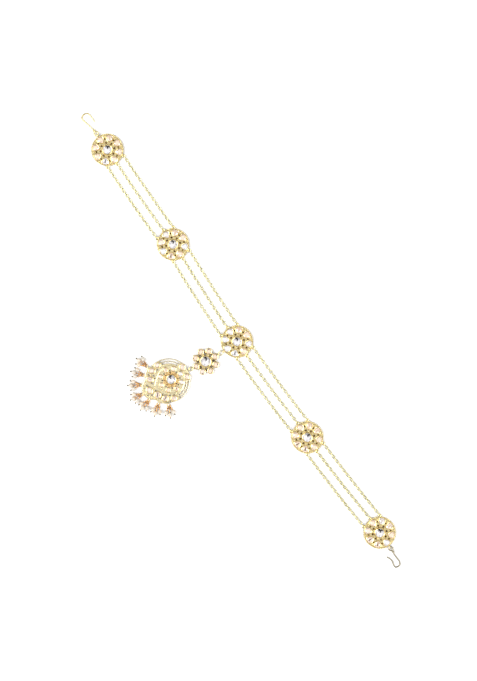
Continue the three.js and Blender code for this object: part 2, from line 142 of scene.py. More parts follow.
def new_finish(name):
    """A material with its shader and its Nodes, and the place on the piece as a vector."""
    material = bpy.data.materials.new(name)
    material.use_nodes = True
    nodes = Nodes(material.node_tree)
    shader = material.node_tree.nodes["Principled BSDF"]
    where = nodes.node("ShaderNodeTexCoord", output="Object")
    return material, nodes, shader, where


BAND_TURN = math.radians(55.016)
CAMERA = {"height_seen": 0.4086, "lens": 100.0, "sensor": 36.0, "nearest": 0.01}
CAMERA_SHIFT = (0.0009, 0.00066)
CARD = {"half": 3.0, "grain": 900.0, "dull": (247, 247, 247), "bright": (251, 251, 251), "roughness": 0.9}
TENT = {"level": 0.6, "overhead": 0.4, "dark_from": 0.86, "dark_to": 0.95, "darkness": 0.9}
DARK_WALL = (-0.25, 0.85, 0.5)
LAMPS = {"side_lamp": (11.0, (-0.9, 0.0, 0.9)), "fill_lamp": (8.0, (0.8, -0.6, 0.9))}
LAMP_SIZE = 0.7

middle_low, middle_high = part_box("motif_3_centre_stone")
middle_disc = (Vector(middle_low) + Vector(middle_high)) / 2
picture_right = Vector((math.cos(BAND_TURN), math.sin(BAND_TURN), 0))
picture_up = Vector((-math.sin(BAND_TURN), math.cos(BAND_TURN), 0))


def way(right, up, rise=0.0):
    """A distance or direction as the picture shows it: to the right, upwards, and off the board."""
    return picture_right * right + picture_up * up + Vector((0, 0, rise))


card, card_nodes, card_shader, card_where = new_finish("white_card")
card_grain = card_nodes.noise(card_where, CARD["grain"])
card_tone = card_nodes.mix(card_grain, colour(*CARD["dull"]), colour(*CARD["bright"]))
card_nodes.fill(card_shader, {"Base Color": card_tone, "Roughness": CARD["roughness"]})

half = CARD["half"]
board_mesh = bpy.data.meshes.new("board")
board_corners = [(-half, -half, 0), (half, -half, 0), (half, half, 0), (-half, half, 0)]
board_mesh.from_pydata(board_corners, [], [(0, 1, 2, 3)])
board_mesh.materials.append(card)
board = bpy.data.objects.new("board", board_mesh)
bpy.context.scene.collection.objects.link(board)
board.location.z = cad_box[0].z

tent = bpy.data.worlds.new("studio_tent")
tent.use_nodes = True
bpy.context.scene.world = tent
tent_nodes = Nodes(tent.node_tree)
tent_direction = tent_nodes.node("ShaderNodeTexCoord", output="Generated")
tent_height = tent_nodes.node("ShaderNodeSeparateXYZ", None, {"Vector": tent_direction}, output="Z")
dark_wall = way(*DARK_WALL).normalized()
facing = tent_nodes.node("ShaderNodeVectorMath", {"operation": "DOT_PRODUCT"},
                         {0: tent_direction, 1: dark_wall}, output="Value")
tent_shade = 1 - facing.between(TENT["dark_from"], TENT["dark_to"]) * TENT["darkness"]
tent_nodes.fill(tent.node_tree.nodes["Background"], {
    "Color": (1.0, 1.0, 1.0, 1.0), "Strength": (tent_height * TENT["overhead"] + TENT["level"]) * tent_shade,
})

for lamp_name, (power, lamp_place) in LAMPS.items():
    lamp = bpy.data.lights.new(lamp_name, "AREA")
    lamp.energy = power
    lamp.shape = "DISK"
    lamp.size = LAMP_SIZE
    lamp_holder = bpy.data.objects.new(lamp_name, lamp)
    lamp_holder.location = middle_disc + way(*lamp_place)
    lamp_holder.rotation_euler = (-way(*lamp_place)).to_track_quat("-Z", "Y").to_euler()
    bpy.context.scene.collection.objects.link(lamp_holder)

camera = bpy.data.cameras.new("camera")
camera.lens = CAMERA["lens"]
camera.sensor_width = CAMERA["sensor"]
camera.clip_start = CAMERA["nearest"]
camera_holder = bpy.data.objects.new("camera", camera)
picture_middle = middle_disc + way(*CAMERA_SHIFT)
camera_height = CAMERA["height_seen"] * CAMERA["lens"] / CAMERA["sensor"]
camera_holder.location = (picture_middle.x, picture_middle.y, camera_height)
camera_holder.rotation_euler = (0, 0, BAND_TURN)
bpy.context.scene.collection.objects.link(camera_holder)
bpy.context.scene.camera = camera_holder
bpy.context.scene.view_settings.view_transform = "Standard"


# The five disc settings. Each is a cast, gold-plated plate cut through between its stones, with a raised
# rim set with granules, a beaded cup for the centre stone, eight pear-shaped bezels soldered round it, and
# a leaf of bent wire with a bead in it between each two bezels.
MM = 0.001
FULL_TURN = 2 * math.pi
DISC = {
    "radius": 9.75, "rim_inside": 9.12, "rim_top": 1.32, "rim_bottom": 0.0, "rim_soft": 0.2, "rim_lip": 0.1,
    "rim_sides": 96, "scallops": 24, "scallop_depth": 0.16, "plate_radius": 9.32, "plate_sides": 64,
    "plate_bottom": 0.5, "plate_top": 1.15, "plate_edge": 0.1, "funnel": 0.4,
    "cup_inside": 2.75, "cup_outside": 3.2, "cup_top": 2.75,
}
DISC_RING = {"Count": 8, "Radius": 6.95, "Height": 1.25, "Tilt": math.radians(7)}
# Radius, size, and 1 for a corner inwards or -1 for one outwards.
DISC_HOLES = [(4.2, 0.64, 1), (6.75, 0.52, -1)]
HOLE_CORNER = 0.16
RIM_GRANULES = {"Count": 96, "Radius": 9.43, "Height": 1.3}
CUP_GRANULES = {"Count": 36, "Radius": 3.42, "Height": 1.3}
LEAF_WIRES = {"Count": 8, "Radius": 8.05, "Height": 1.22, "First Angle": math.pi / 8}
LEAF_BEADS = {"Count": 8, "Radius": 8.25, "Height": 1.3, "First Angle": math.pi / 8}
LEAF = {"half_length": 0.92, "half_width": 0.72, "pear": 0.45, "sides": 20}
LEAF_WIRE = 0.15
LEAF_BEAD = 0.34
GRANULE = 0.24
PETAL = {"half_length": 2.42, "half_width": 2.3, "pear": 0.3, "wall": 0.4, "bottom": -0.3, "top": 0.62}
PETAL_STONE = {"half_length": 2.05, "half_width": 1.92, "pear": 0.3, "foot": 0.0, "girdle": 0.5, "table": 1.0}
DISC_STONE = {"half_length": 2.65, "half_width": 2.65, "pear": 0.0, "foot": 1.6, "girdle": 2.6, "table": 3.7}
# Directions, in degrees, of the painted dark reflection on each disc's centre stone.
PAINTED_DARK_SIDES = (135, 150, 140, 128, 135)
# Directions, in degrees, of the painted dark bar of reflection across each disc's petal stones.
PAINTED_BAR_SIDES = (315, 315, 315, 292, 292)
# The painted dark bar shows fully on stones that face its direction, and weaker on those facing away.
PAINTED_BAR = {"facing": 0.8, "across": 0.45}
CHAIN_EYE = {"ring": 0.8, "wire": 0.27, "height": 0.95, "row_x": (10.4, 8.55), "row_y": 5.9}
HOOK_EYE = {"ring": 0.9, "wire": 0.28, "height": 1.25, "radius": 10.5}
SMALL_EYE = {"ring": 0.7, "wire": 0.23, "height": 0.95, "radius": 10.3}
CREASE = {"metal": 35, "wire": 60, "bead": 80}
CORNER_LIMIT = 0.5
GOLD_SURFACE = {
    "cloud": 420.0, "cloud_lift": 0.0004, "grain": 5200.0, "grain_detail": 2.0, "wear": 0.12,
    "dots": 2300.0, "disorder": 0.75, "dot_from": 0.25, "dot_to": 0.75, "dot_tone": 0.34, "dot_depth": 2.0,
    "ground_step": 0.1, "dull": 0.18, "uneven": 0.1, "bump": 0.25, "bump_depth": 0.00004,
}
STONE_SURFACE = {
    "warm_from": 0.05, "warm_to": 0.5, "bar": 0.85, "cloud": 700.0, "clear": 0.92, "clouded": 0.16,
    "metallic": 0.25, "roughness": 0.05, "dark_roughness": 0.06, "coat": 0.6, "coat_roughness": 0.03,
}
STONE_CUT = {"table": 0.55, "crown": 0.79, "crown_rise": 0.6, "foot": 0.94, "peak_x": 0.04, "peak_y": 0.03}
# Painted light of each kind of facet, as a share of its lit colour, standing for what the facet reflects.
PAINTED_FACET_LIGHTS = {
    "barred_table": (1.0, 0.97, 0.93), "table": (0.86, 0.96, 1.0), "star": (0.5, 0.85, 0.95, 1.0),
    "kite": (0.7, 0.9, 1.0), "girdle": (0.3, 0.5, 0.72), "half_dark": 0.6, "side": 0.8, "back": 0.6,
}
EIGHTH = 45.0


def gold_finish(name, bright, deep_patina_and_shade, low, high, roughness=0.2, ground=0.0):
    """Gold plating, dark and dull low in the work, bright and smoother higher up, where rubbing wears it. The
    darkening low down is partly patina and partly painted shade in hollows and at the feet of walls.

    Up to the height of the ground, in millimetres, the metal is matted with a round punch.
    """
    look = GOLD_SURFACE
    bright, deep_patina_and_shade = colour(*bright), colour(*deep_patina_and_shade)
    material, nodes, shader, where = new_finish(name)
    height = nodes.node("ShaderNodeSeparateXYZ", None, {"Vector": where}, output="Z")
    cloud = nodes.noise(where, look["cloud"])
    grain = nodes.noise(where, look["grain"], look["grain_detail"])
    # Painted shade, partly patina: the colour darkens below the given heights, in hollows and at the feet of
    # walls.
    rubbed_and_unshaded = (height + (cloud - 0.5) * look["cloud_lift"]).between(low * MM, high * MM)
    toned = nodes.mix(grain * look["wear"], nodes.mix(rubbed_and_unshaded, deep_patina_and_shade, bright), deep_patina_and_shade)
    relief = grain
    if ground:
        punch = {"Vector": where, "Scale": look["dots"], "Randomness": look["disorder"]}
        dots = nodes.node("ShaderNodeTexVoronoi", None, punch)
        above = height.between(ground * MM, (ground + look["ground_step"]) * MM)
        matted = dots.between(look["dot_from"], look["dot_to"]) * (1 - above)
        toned = nodes.mix(matted * look["dot_tone"], toned, deep_patina_and_shade)
        relief = grain - matted * look["dot_depth"]
    bumps = {"Strength": look["bump"], "Distance": look["bump_depth"], "Height": relief}
    nodes.fill(shader, {
        "Base Color": toned, "Metallic": 1.0,
        "Roughness": roughness + (1 - rubbed_and_unshaded) * look["dull"] + (grain - 0.5) * look["uneven"],
        "Normal": nodes.node("ShaderNodeBump", None, bumps, "Normal"),
    })
    return material


def stone_finish(name, cool, warm, dark):
    """Foiled cut stone: every facet carries painted light for the reflection it stands for, and some stones a
    painted dark stripe of reflection along the table.
    """
    look = STONE_SURFACE
    material, nodes, shader, where = new_finish(name)
    tone, bar, tint, barred = (nodes.node("ShaderNodeAttribute", {"attribute_name": kept}, output="Fac")
                               for kept in ("tone", "bar", "tint", "barred"))
    cloud = nodes.noise(where, look["cloud"])
    body = nodes.mix(tint.between(look["warm_from"], look["warm_to"]), colour(*cool), colour(*warm))
    # Painted reflection: each facet's painted light, dimmed under the painted dark bar, runs from the painted
    # dark to the body colour.
    lit = tone * (1 - bar * barred * look["bar"]) * (look["clear"] + cloud * look["clouded"])
    nodes.fill(shader, {
        "Base Color": nodes.mix(lit, colour(*dark), body), "Metallic": look["metallic"],
        "Roughness": look["roughness"] + (1 - tone) * look["dark_roughness"],
        "Coat Weight": look["coat"], "Coat Roughness": look["coat_roughness"],
    })
    return material


def loop_of(radius, sides, lobes=0, depth=0.0):
    """A closed round loop, anticlockwise, with shallow lobes if it has any."""
    loop = []
    for k in range(sides):
        angle = FULL_TURN * k / sides
        dip = depth * (1 - abs(math.cos(lobes * angle / 2)))
        loop.append(((radius - dip) * math.cos(angle), (radius - dip) * math.sin(angle)))
    return loop


def pear_point(half_length, half_width, pear, sharp, angle):
    """A point on an oval, narrower towards -X if it is a pear, and pointed at both ends if it is sharp."""
    rise = math.sin(angle) * abs(math.sin(angle)) ** sharp
    return (half_length * math.cos(angle), half_width * (1 + pear * math.cos(angle)) * rise)


def pear_loop(half_length, half_width, pear, sides, sharp=0.0):
    return [pear_point(half_length, half_width, pear, sharp, FULL_TURN * k / sides) for k in range(sides)]


def moved_left(loop, distance):
    """A closed loop moved to its own left, square to its edges. An anticlockwise loop shrinks."""
    moved = []
    for before, point, after in zip(loop[-1:] + loop[:-1], loop, loop[1:] + loop[:1]):
        coming = (Vector(point) - Vector(before)).normalized()
        going = (Vector(after) - Vector(point)).normalized()
        left = Vector((-coming.y - going.y, coming.x + going.x)).normalized()
        reach = distance / max(left.dot(Vector((-coming.y, coming.x))), CORNER_LIMIT)
        moved.append((point[0] + left.x * reach, point[1] + left.y * reach))
    return moved


def raised(loop, z):
    """Flat points at a height."""
    return [(x, y, z) for x, y in loop]


def lofted(loops, hollow=False):
    """A body through loops of points. It closes on itself if it is hollow, and else has flat ends."""
    count = len(loops[0])
    corners = [point for loop in loops for point in loop]
    faces = []
    for level in range(len(loops) if hollow else len(loops) - 1):
        above = (level + 1) % len(loops) * count
        below = level * count
        for k in range(count):
            following = (k + 1) % count
            faces.append((below + k, below + following, above + following, above + k))
    if not hollow:
        faces.append(tuple(reversed(range(count))))
        faces.append(tuple(range(len(corners) - count, len(corners))))
    return corners, faces


def pierced_plate(outline, holes, bottom, top, edge, funnel=0.0):
    """A plate with softened edges, cut through by holes that narrow downwards by the funnel."""
    loops = [outline] + [list(reversed(hole)) for hole in holes]
    corners, faces, caps = [], [], {}
    steps = [(edge, bottom, 1.0), (0.0, bottom + edge, 1.0), (0.0, top - edge, 0.0), (edge, top, 0.0)]
    for inwards, z, narrowed in steps:
        caps[z] = len(corners)
        for loop in loops:
            reach = inwards if loop is outline else inwards - funnel * narrowed
            corners += raised(moved_left(loop, reach), z)
    total = sum(len(loop) for loop in loops)
    start = 0
    for loop in loops:
        for level in range(len(steps) - 1):
            below = level * total + start
            above = below + total
            for k in range(len(loop)):
                following = (k + 1) % len(loop)
                faces.append((below + k, below + following, above + following, above + k))
        start += len(loop)
    flat = [[Vector((x, y, 0)) for x, y in moved_left(loop, edge)] for loop in loops]
    for a, b, c in tessellate_polygon(flat):
        faces.append((a + caps[top], b + caps[top], c + caps[top]))
        faces.append((c + caps[bottom], b + caps[bottom], a + caps[bottom]))
    return corners, faces


def ring_body(ring, wire, around=20, sides=8, stretch=0.0):
    """A closed wire ring lying flat, drawn out along X if it is stretched."""
    loops = []
    for k in range(around):
        angle = FULL_TURN * k / around
        side = round(math.cos(angle), 6)
        pull = stretch * ((side > 0) - (side < 0))
        loop = []
        for j in range(sides):
            bend = FULL_TURN * j / sides
            reach = ring + wire * math.cos(bend)
            loop.append((reach * math.cos(angle) + pull, reach * math.sin(angle), wire * math.sin(bend)))
        loops.append(loop)
    return lofted(loops, hollow=True)


def ball_body(radius, around=10, levels=6):
    """A round bead with a point at each pole."""
    corners = [(0, 0, -radius)]
    for level in range(1, levels):
        rise = math.pi * level / levels - math.pi / 2
        for k in range(around):
            angle = FULL_TURN * k / around
            reach = radius * math.cos(rise)
            corners.append((reach * math.cos(angle), reach * math.sin(angle), radius * math.sin(rise)))
    corners.append((0, 0, radius))
    faces = []
    last = len(corners) - 1
    for k in range(around):
        following = (k + 1) % around
        faces.append((0, 1 + following, 1 + k))
        for level in range(levels - 2):
            below = 1 + level * around
            faces.append((below + k, below + following, below + around + following, below + around + k))
        faces.append((last, last - around + k, last - around + following))
    return corners, faces


def spot(x, y, z=0.0, turn=0.0, rise=0.0):
    """A place in millimetres: lifted by a rise about its own Y first, then turned about Z."""
    return Matrix.Translation((x, y, z)) @ Matrix.Rotation(turn, 4, "Z") @ Matrix.Rotation(rise, 4, "Y")


def placed(body, place):
    corners, faces = body
    return [place @ Vector(corner) for corner in corners], faces


STANDING = Matrix.Rotation(math.pi / 2, 4, "X")


def mesh_of(bodies, crease=CREASE["metal"]):
    """One mesh in millimetres from several closed bodies, smooth but for edges sharper than the crease."""
    mesh = bpy.data.meshes.new("work")
    corners, faces = [], []
    for body_corners, body_faces in bodies:
        faces += [tuple(corner + len(corners) for corner in face) for face in body_faces]
        corners += [tuple(corner) for corner in body_corners]
    mesh.from_pydata(corners, [], faces)
    work = bmesh.new()
    work.from_mesh(mesh)
    bmesh.ops.recalc_face_normals(work, faces=work.faces)
    work.to_mesh(mesh)
    work.free()
    mesh.shade_smooth()
    mesh.set_sharp_from_angle(angle=math.radians(crease))
    return mesh


def cut_stone(half_length, half_width, pear, foot, girdle, table, sharp=0.0, seed=1,
              painted_dark_side=None, dark_reach=24):
    """A cut stone: a table of eight facets, eight stars, eight kites, a girdle, and a flat back.

    With a painted dark side, in degrees, the facets there are painted dark, standing for a reflection of the
    dark, and those beside it half dark. Else the middle strip of the table is marked for a painted dark
    stripe of reflection.
    """
    chance = random.Random(seed)
    crown_row, edge_row, foot_row, peak = 8, 16, 32, 48

    def corner(share, turn, z):
        x, y = pear_point(half_length * share, half_width * share, pear, sharp, math.radians(turn))
        return (x, y, z)

    # Painted reflection: facets turned to the painted dark side are dark, those beside it half dark, and the
    # rest take a lit value.
    def shade(turn, part):
        away = 180 if painted_dark_side is None else abs((turn - painted_dark_side + 180) % 360 - 180)
        if away < dark_reach:
            return 0.0
        return PAINTED_FACET_LIGHTS["half_dark"] if away < 2 * dark_reach else chance.choice(PAINTED_FACET_LIGHTS[part])

    crown = girdle + (table - girdle) * STONE_CUT["crown_rise"]
    corners = [corner(STONE_CUT["table"], EIGHTH * (k + 0.5), table) for k in range(8)]
    corners += [corner(STONE_CUT["crown"], EIGHTH * k, crown) for k in range(8)]
    corners += [corner(1.0, EIGHTH * k / 2, girdle) for k in range(16)]
    corners += [corner(STONE_CUT["foot"], EIGHTH * k / 2, foot) for k in range(16)]
    faces, painted_facet_lights, painted_bars = [], [], []
    # Without a painted dark side, the middle strip of the table carries the painted dark bar.
    if painted_dark_side is None:
        faces += [(0, 1, 2, 3), (3, 4, 7, 0), (4, 5, 6, 7)]
        painted_facet_lights += PAINTED_FACET_LIGHTS["barred_table"]
        painted_bars += [0.0, 1.0, 0.0]
    else:
        corners.append((half_length * STONE_CUT["peak_x"], half_width * STONE_CUT["peak_y"], table))
        for k in range(8):
            faces.append((k, (k + 1) % 8, peak))
            painted_facet_lights.append(shade(EIGHTH * (k + 1), "table"))
    for k in range(8):
        star = crown_row + k
        edge = edge_row + 2 * k
        before = edge_row + (2 * k - 1) % 16
        faces += [((k - 1) % 8, star, k), (k, star, edge + 1, crown_row + (k + 1) % 8),
                  (star, before, edge), (star, edge, edge + 1)]
        painted_facet_lights += [shade(EIGHTH * k, "star"), shade(EIGHTH * (k + 0.5), "kite")]
        painted_facet_lights += [chance.choice(PAINTED_FACET_LIGHTS["girdle"]) for _ in range(2)]
    for k in range(16):
        following = (k + 1) % 16
        faces.append((foot_row + k, foot_row + following, edge_row + following, edge_row + k))
        painted_facet_lights.append(PAINTED_FACET_LIGHTS["side"])
    faces.append(tuple(reversed(range(foot_row, peak))))
    painted_facet_lights.append(PAINTED_FACET_LIGHTS["back"])
    painted_bars += [0.0] * (len(faces) - len(painted_bars))
    mesh = bpy.data.meshes.new("stone")
    mesh.from_pydata(corners, [], faces)
    mesh.attributes.new("tone", "FLOAT", "FACE").data.foreach_set("value", painted_facet_lights)
    mesh.attributes.new("bar", "FLOAT", "FACE").data.foreach_set("value", painted_bars)
    return mesh


def new_tree(name, wanted):
    """A Geometry Nodes tree with a geometry going in and out, and its named inputs as sockets."""
    tree = bpy.data.node_groups.new(name, "GeometryNodeTree")
    tree.interface.new_socket("Geometry", in_out="OUTPUT", socket_type="NodeSocketGeometry")
    tree.interface.new_socket("Geometry", in_out="INPUT", socket_type="NodeSocketGeometry")
    for label, kind in wanted.items():
        tree.interface.new_socket(label, in_out="INPUT", socket_type="NodeSocket" + kind)
    nodes = Nodes(tree)
    entry = tree.nodes.new("NodeGroupInput")
    return nodes, {label: Socket(nodes, entry.outputs[label]) for label in ["Geometry", *wanted]}


def end_tree(nodes, shape, finish):
    real = nodes.node("GeometryNodeRealizeInstances", None, {"Geometry": shape})
    done = nodes.node("GeometryNodeSetMaterial", None, {"Geometry": real, "Material": finish})
    nodes.fill(nodes.tree.nodes.new("NodeGroupOutput"), {"Geometry": done})


def formed(start, steps):
    """The plain mesh left when trees with their inputs have worked on a mesh or curve, one after another."""
    worker = bpy.data.objects.new("worker", start)
    bpy.context.scene.collection.objects.link(worker)
    for tree, inputs in steps:
        modifier = worker.modifiers.new(tree.name, "NODES")
        modifier.node_group = tree
        for item in tree.interface.items_tree:
            if item.in_out == "INPUT" and item.name in inputs:
                modifier[item.identifier] = inputs[item.name]
    graph = bpy.context.evaluated_depsgraph_get()
    mesh = bpy.data.meshes.new_from_object(worker.evaluated_get(graph), depsgraph=graph)
    bpy.data.objects.remove(worker)
    return mesh


def element(name, mesh):
    """A shape that a tree repeats. It stays out of the scene."""
    return bpy.data.objects.new(name, mesh)


def keeping(nodes, instances, name, value):
    """Instances that each keep a number by name, for their finish to read."""
    settings = {"data_type": "FLOAT", "domain": "INSTANCE"}
    sockets = {"Geometry": instances, "Name": name, "Value": value}
    return nodes.node("GeometryNodeStoreNamedAttribute", settings, sockets)


ring_nodes, ring_in = new_tree("set_in_a_ring", {
    "Element": "Object", "Count": "Int", "Radius": "Float", "Height": "Float", "First Angle": "Float",
    "Tilt": "Float", "Seed": "Int", "Painted Bar Angle": "Float", "Finish": "Material",
})
ring_index = ring_nodes.node("GeometryNodeInputIndex")
ring_angle = ring_index * FULL_TURN / ring_in["Count"] + ring_in["First Angle"]
ring_place = ring_nodes.node("ShaderNodeCombineXYZ", None, {
    "X": ring_in["Radius"] * ring_nodes.math("COSINE", ring_angle),
    "Y": ring_in["Radius"] * ring_nodes.math("SINE", ring_angle),
    "Z": ring_in["Height"],
})
ring_points = ring_nodes.node("GeometryNodePoints", None, {"Count": ring_in["Count"], "Position": ring_place})
ring_euler = ring_nodes.node("ShaderNodeCombineXYZ", None, {"Y": ring_in["Tilt"], "Z": ring_angle})
ring_turn = ring_nodes.node("FunctionNodeEulerToRotation", None, {"Euler": ring_euler})
ring_shape = ring_nodes.node("GeometryNodeObjectInfo", None, {"Object": ring_in["Element"]}, "Geometry")
ring_set = ring_nodes.node("GeometryNodeInstanceOnPoints", None, {
    "Points": ring_points, "Instance": ring_shape, "Rotation": ring_turn,
})
ring_tint = ring_nodes.node("FunctionNodeRandomValue", {"data_type": "FLOAT"}, {"Seed": ring_in["Seed"]}, 1)
# Painted reflection: stones of the ring that face the painted bar angle carry the painted dark bar, those
# facing away a weaker one.
ring_facing = ring_nodes.math("COSINE", ring_angle - ring_in["Painted Bar Angle"])
ring_painted_bar = (ring_facing > PAINTED_BAR["facing"]) + (0 - ring_facing > PAINTED_BAR["facing"]) * PAINTED_BAR["across"]
ring_kept = keeping(ring_nodes, keeping(ring_nodes, ring_set, "tint", ring_tint), "barred", ring_painted_bar)
ring_all = ring_nodes.node("GeometryNodeJoinGeometry", None, {"Geometry": [ring_in["Geometry"], ring_kept]})
end_tree(ring_nodes, ring_all, ring_in["Finish"])


def ringed(bodies, finish, *rings):
    """Bodies as one mesh, with the elements of each ring set round them."""
    start = mesh_of(bodies) if bodies else bpy.data.meshes.new("none")
    return formed(start, [(ring_nodes.tree, {"Finish": finish, **ring}) for ring in rings])


def finished(name, mesh, place, finish, replaced=()):
    """The finished piece: its mesh goes from millimetres to its place on the ornament."""
    mesh.transform(Matrix.Scale(MM, 4) @ place)
    mesh.name = name
    mesh.materials.clear()
    mesh.materials.append(finish)
    piece = bpy.data.objects.new(name, mesh)
    bpy.context.scene.collection.objects.link(piece)
    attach(piece, "root")
    if replaced:
        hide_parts(*replaced)


def centre_of(node):
    """The middle of a CAD node, seen from above, in millimetres."""
    low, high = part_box(node)
    return Vector(((low[0] + high[0]) / 2 / MM, (low[1] + high[1]) / 2 / MM, 0))


def hole_loop(radius, size, angle, sides=18, inwards=1):
    """A rounded three-cornered piercing with one corner towards the middle, or away from it."""
    loop = []
    for k in range(sides):
        turn = FULL_TURN * k / sides
        reach = size * (1 - HOLE_CORNER * inwards * math.cos(3 * turn))
        loop.append((reach * math.cos(turn), reach * math.sin(turn)))
    return [tuple((spot(0, 0, 0, angle) @ Vector((x + radius, y, 0))).xy) for x, y in loop]


def holes_between(rings, count, first=0.0, sides=18):
    """Piercings between each two stones of a ring, one for each of the given holes."""
    angles = [first + FULL_TURN * (k + 0.5) / count for k in range(count)]
    return [hole_loop(radius, size, angle, sides, inwards)
            for angle in angles for radius, size, inwards in rings]


def stone_wall(loop, wall, bottom, top, steps):
    """Gold round a stone, rolled over its edge, and closed under it.

    Each step is a distance outwards in walls and one in millimetres, 0 for the bottom or 1 for the top,
    and a rise from there.
    """
    return lofted([raised(moved_left(loop, -(walls * wall + out)), (bottom, top)[level] + rise)
                   for walls, out, level, rise in steps])


CUP_STEPS = [(0, 0.15, 0, 0), (0, 0, 0, 0.5), (0, -0.02, 1, -0.4), (-0.3, 0, 1, -0.08), (-0.65, 0, 1, 0),
             (-1, -0.12, 1, -0.1), (-1, 0, 1, -0.35), (-1, -0.05, 0, 0.3)]
BEZEL_STEPS = [(0, -0.1, 0, 0), (0, 0, 0, 0.25), (0, 0, 1, -0.3), (-0.3, 0, 1, -0.06), (-0.7, 0, 1, 0),
               (-1, -0.12, 1, -0.08), (-1, 0, 1, -0.3), (-1, -0.03, 0, 0.3)]


def cup_body(inside, outside, bottom, top, sides=40):
    """A round stone cup with a rolled lip."""
    return stone_wall(loop_of(outside, sides), outside - inside, bottom, top, CUP_STEPS)


def bezel_body(half_length, half_width, pear, wall, bottom, top, sharp=0.0, sides=32):
    """A bezel: a strip of gold round the stone, with a floor behind it."""
    return stone_wall(pear_loop(half_length, half_width, pear, sides, sharp), wall, bottom, top, BEZEL_STEPS)


def route_curve(routes):
    """A curve of straight steps, one spline for each route. A route is its points, and closed or not."""
    curve = bpy.data.curves.new("route", "CURVE")
    curve.dimensions = "3D"
    for points, closed in routes:
        spline = curve.splines.new("POLY")
        spline.points.add(len(points) - 1)
        spline.use_cyclic_u = closed
        for knot, (x, y, z) in zip(spline.points, points):
            knot.co = (x, y, z, 1.0)
    return curve


wire_nodes, wire_in = new_tree("drawn_wire", {"Wire": "Float", "Sides": "Int", "Finish": "Material"})
wire_section = wire_nodes.node("GeometryNodeCurvePrimitiveCircle", None, {
    "Resolution": wire_in["Sides"], "Radius": wire_in["Wire"],
})
wire_body = wire_nodes.node("GeometryNodeCurveToMesh", None, {
    "Curve": wire_in["Geometry"], "Profile Curve": wire_section, "Fill Caps": True,
})
end_tree(wire_nodes, wire_body, wire_in["Finish"])


def wires(routes, wire, finish, sides=8):
    """Round wire along routes. A route is its points, and closed or not."""
    mesh = formed(route_curve(routes), [(wire_nodes.tree, {"Wire": wire, "Sides": sides, "Finish": finish})])
    mesh.shade_smooth()
    mesh.set_sharp_from_angle(angle=math.radians(CREASE["wire"]))
    return mesh


def bead_element(name, radius, around=10, levels=6):
    """A round bead for a tree to repeat."""
    return element(name, mesh_of([ball_body(radius, around, levels)], CREASE["bead"]))


def standing_eye(x, y, turn=math.pi / 2, eye=SMALL_EYE):
    """A wire eye that stands on edge over a place on the plate, turned about Z."""
    ring = placed(ring_body(eye["ring"], eye["wire"]), STANDING)
    return placed(ring, spot(x, y, eye["height"], turn))


gold = gold_finish("champagne_gold", (244, 230, 178), (138, 106, 50), 0.6, 1.3, ground=1.2)
bezel_gold = gold_finish("bezel_gold", (234, 210, 148), (138, 100, 46), 1.05, 1.75)
eye_gold = gold_finish("eye_gold", (238, 218, 140), (146, 118, 52), 0.6, 1.2)
# The stones' cool and warm body colours, and the painted dark that facets take where they stand for a
# reflection of the dark.
kundan = stone_finish("kundan_stone", (232, 229, 230), (244, 217, 192), (44, 38, 36))


def jewelled(name, node, place, cup, ring, bezel, stone, seed, painted_bar_angle=0.0):
    """A cup with a ring of bezels soldered round it, and the stones of that ring, for one CAD node."""
    bezels = ringed([cup], bezel_gold, {**ring, "Element": bezel})
    finished(name + "_bezels", bezels, place, bezel_gold, [node])
    stones = ringed([], kundan, {**ring, "Element": stone, "Seed": seed, "Painted Bar Angle": painted_bar_angle})
    finished(name + "_petal_stones", stones, place, kundan, [node])


disc_plate = pierced_plate(
    loop_of(DISC["plate_radius"], DISC["plate_sides"]), holes_between(DISC_HOLES, DISC_RING["Count"]),
    DISC["plate_bottom"], DISC["plate_top"], DISC["plate_edge"], DISC["funnel"],
)
rim_inner = loop_of(DISC["rim_inside"], DISC["rim_sides"])
rim_outer = loop_of(DISC["radius"], DISC["rim_sides"], DISC["scallops"], DISC["scallop_depth"])
rim_bottom, rim_top, rim_soft, rim_lip = (DISC["rim_" + part] for part in ("bottom", "top", "soft", "lip"))
disc_rim = lofted([raised(moved_left(loop, inwards), z) for loop, inwards, z in (
    (rim_inner, 0.0, rim_bottom), (rim_outer, rim_soft, rim_bottom), (rim_outer, 0.0, rim_bottom + rim_soft),
    (rim_outer, 0.0, rim_top - rim_soft), (rim_outer, rim_soft, rim_top),
    (rim_inner, -rim_lip, rim_top), (rim_inner, 0.0, rim_top - rim_lip),
)], hollow=True)
disc_cup = cup_body(DISC["cup_inside"], DISC["cup_outside"], DISC["plate_bottom"], DISC["cup_top"])
petal_bezel = element("petal_bezel", mesh_of([bezel_body(**PETAL)]))
petal_stone = element("petal_stone", cut_stone(**PETAL_STONE))
granule = bead_element("granule", GRANULE, 8, 4)
leaf_bead = bead_element("leaf_bead", LEAF_BEAD)
leaf_wire = element("leaf_wire", wires([(raised(pear_loop(**LEAF), 0), True)], LEAF_WIRE, gold, sides=6))
eye_ring = ring_body(CHAIN_EYE["ring"], CHAIN_EYE["wire"])

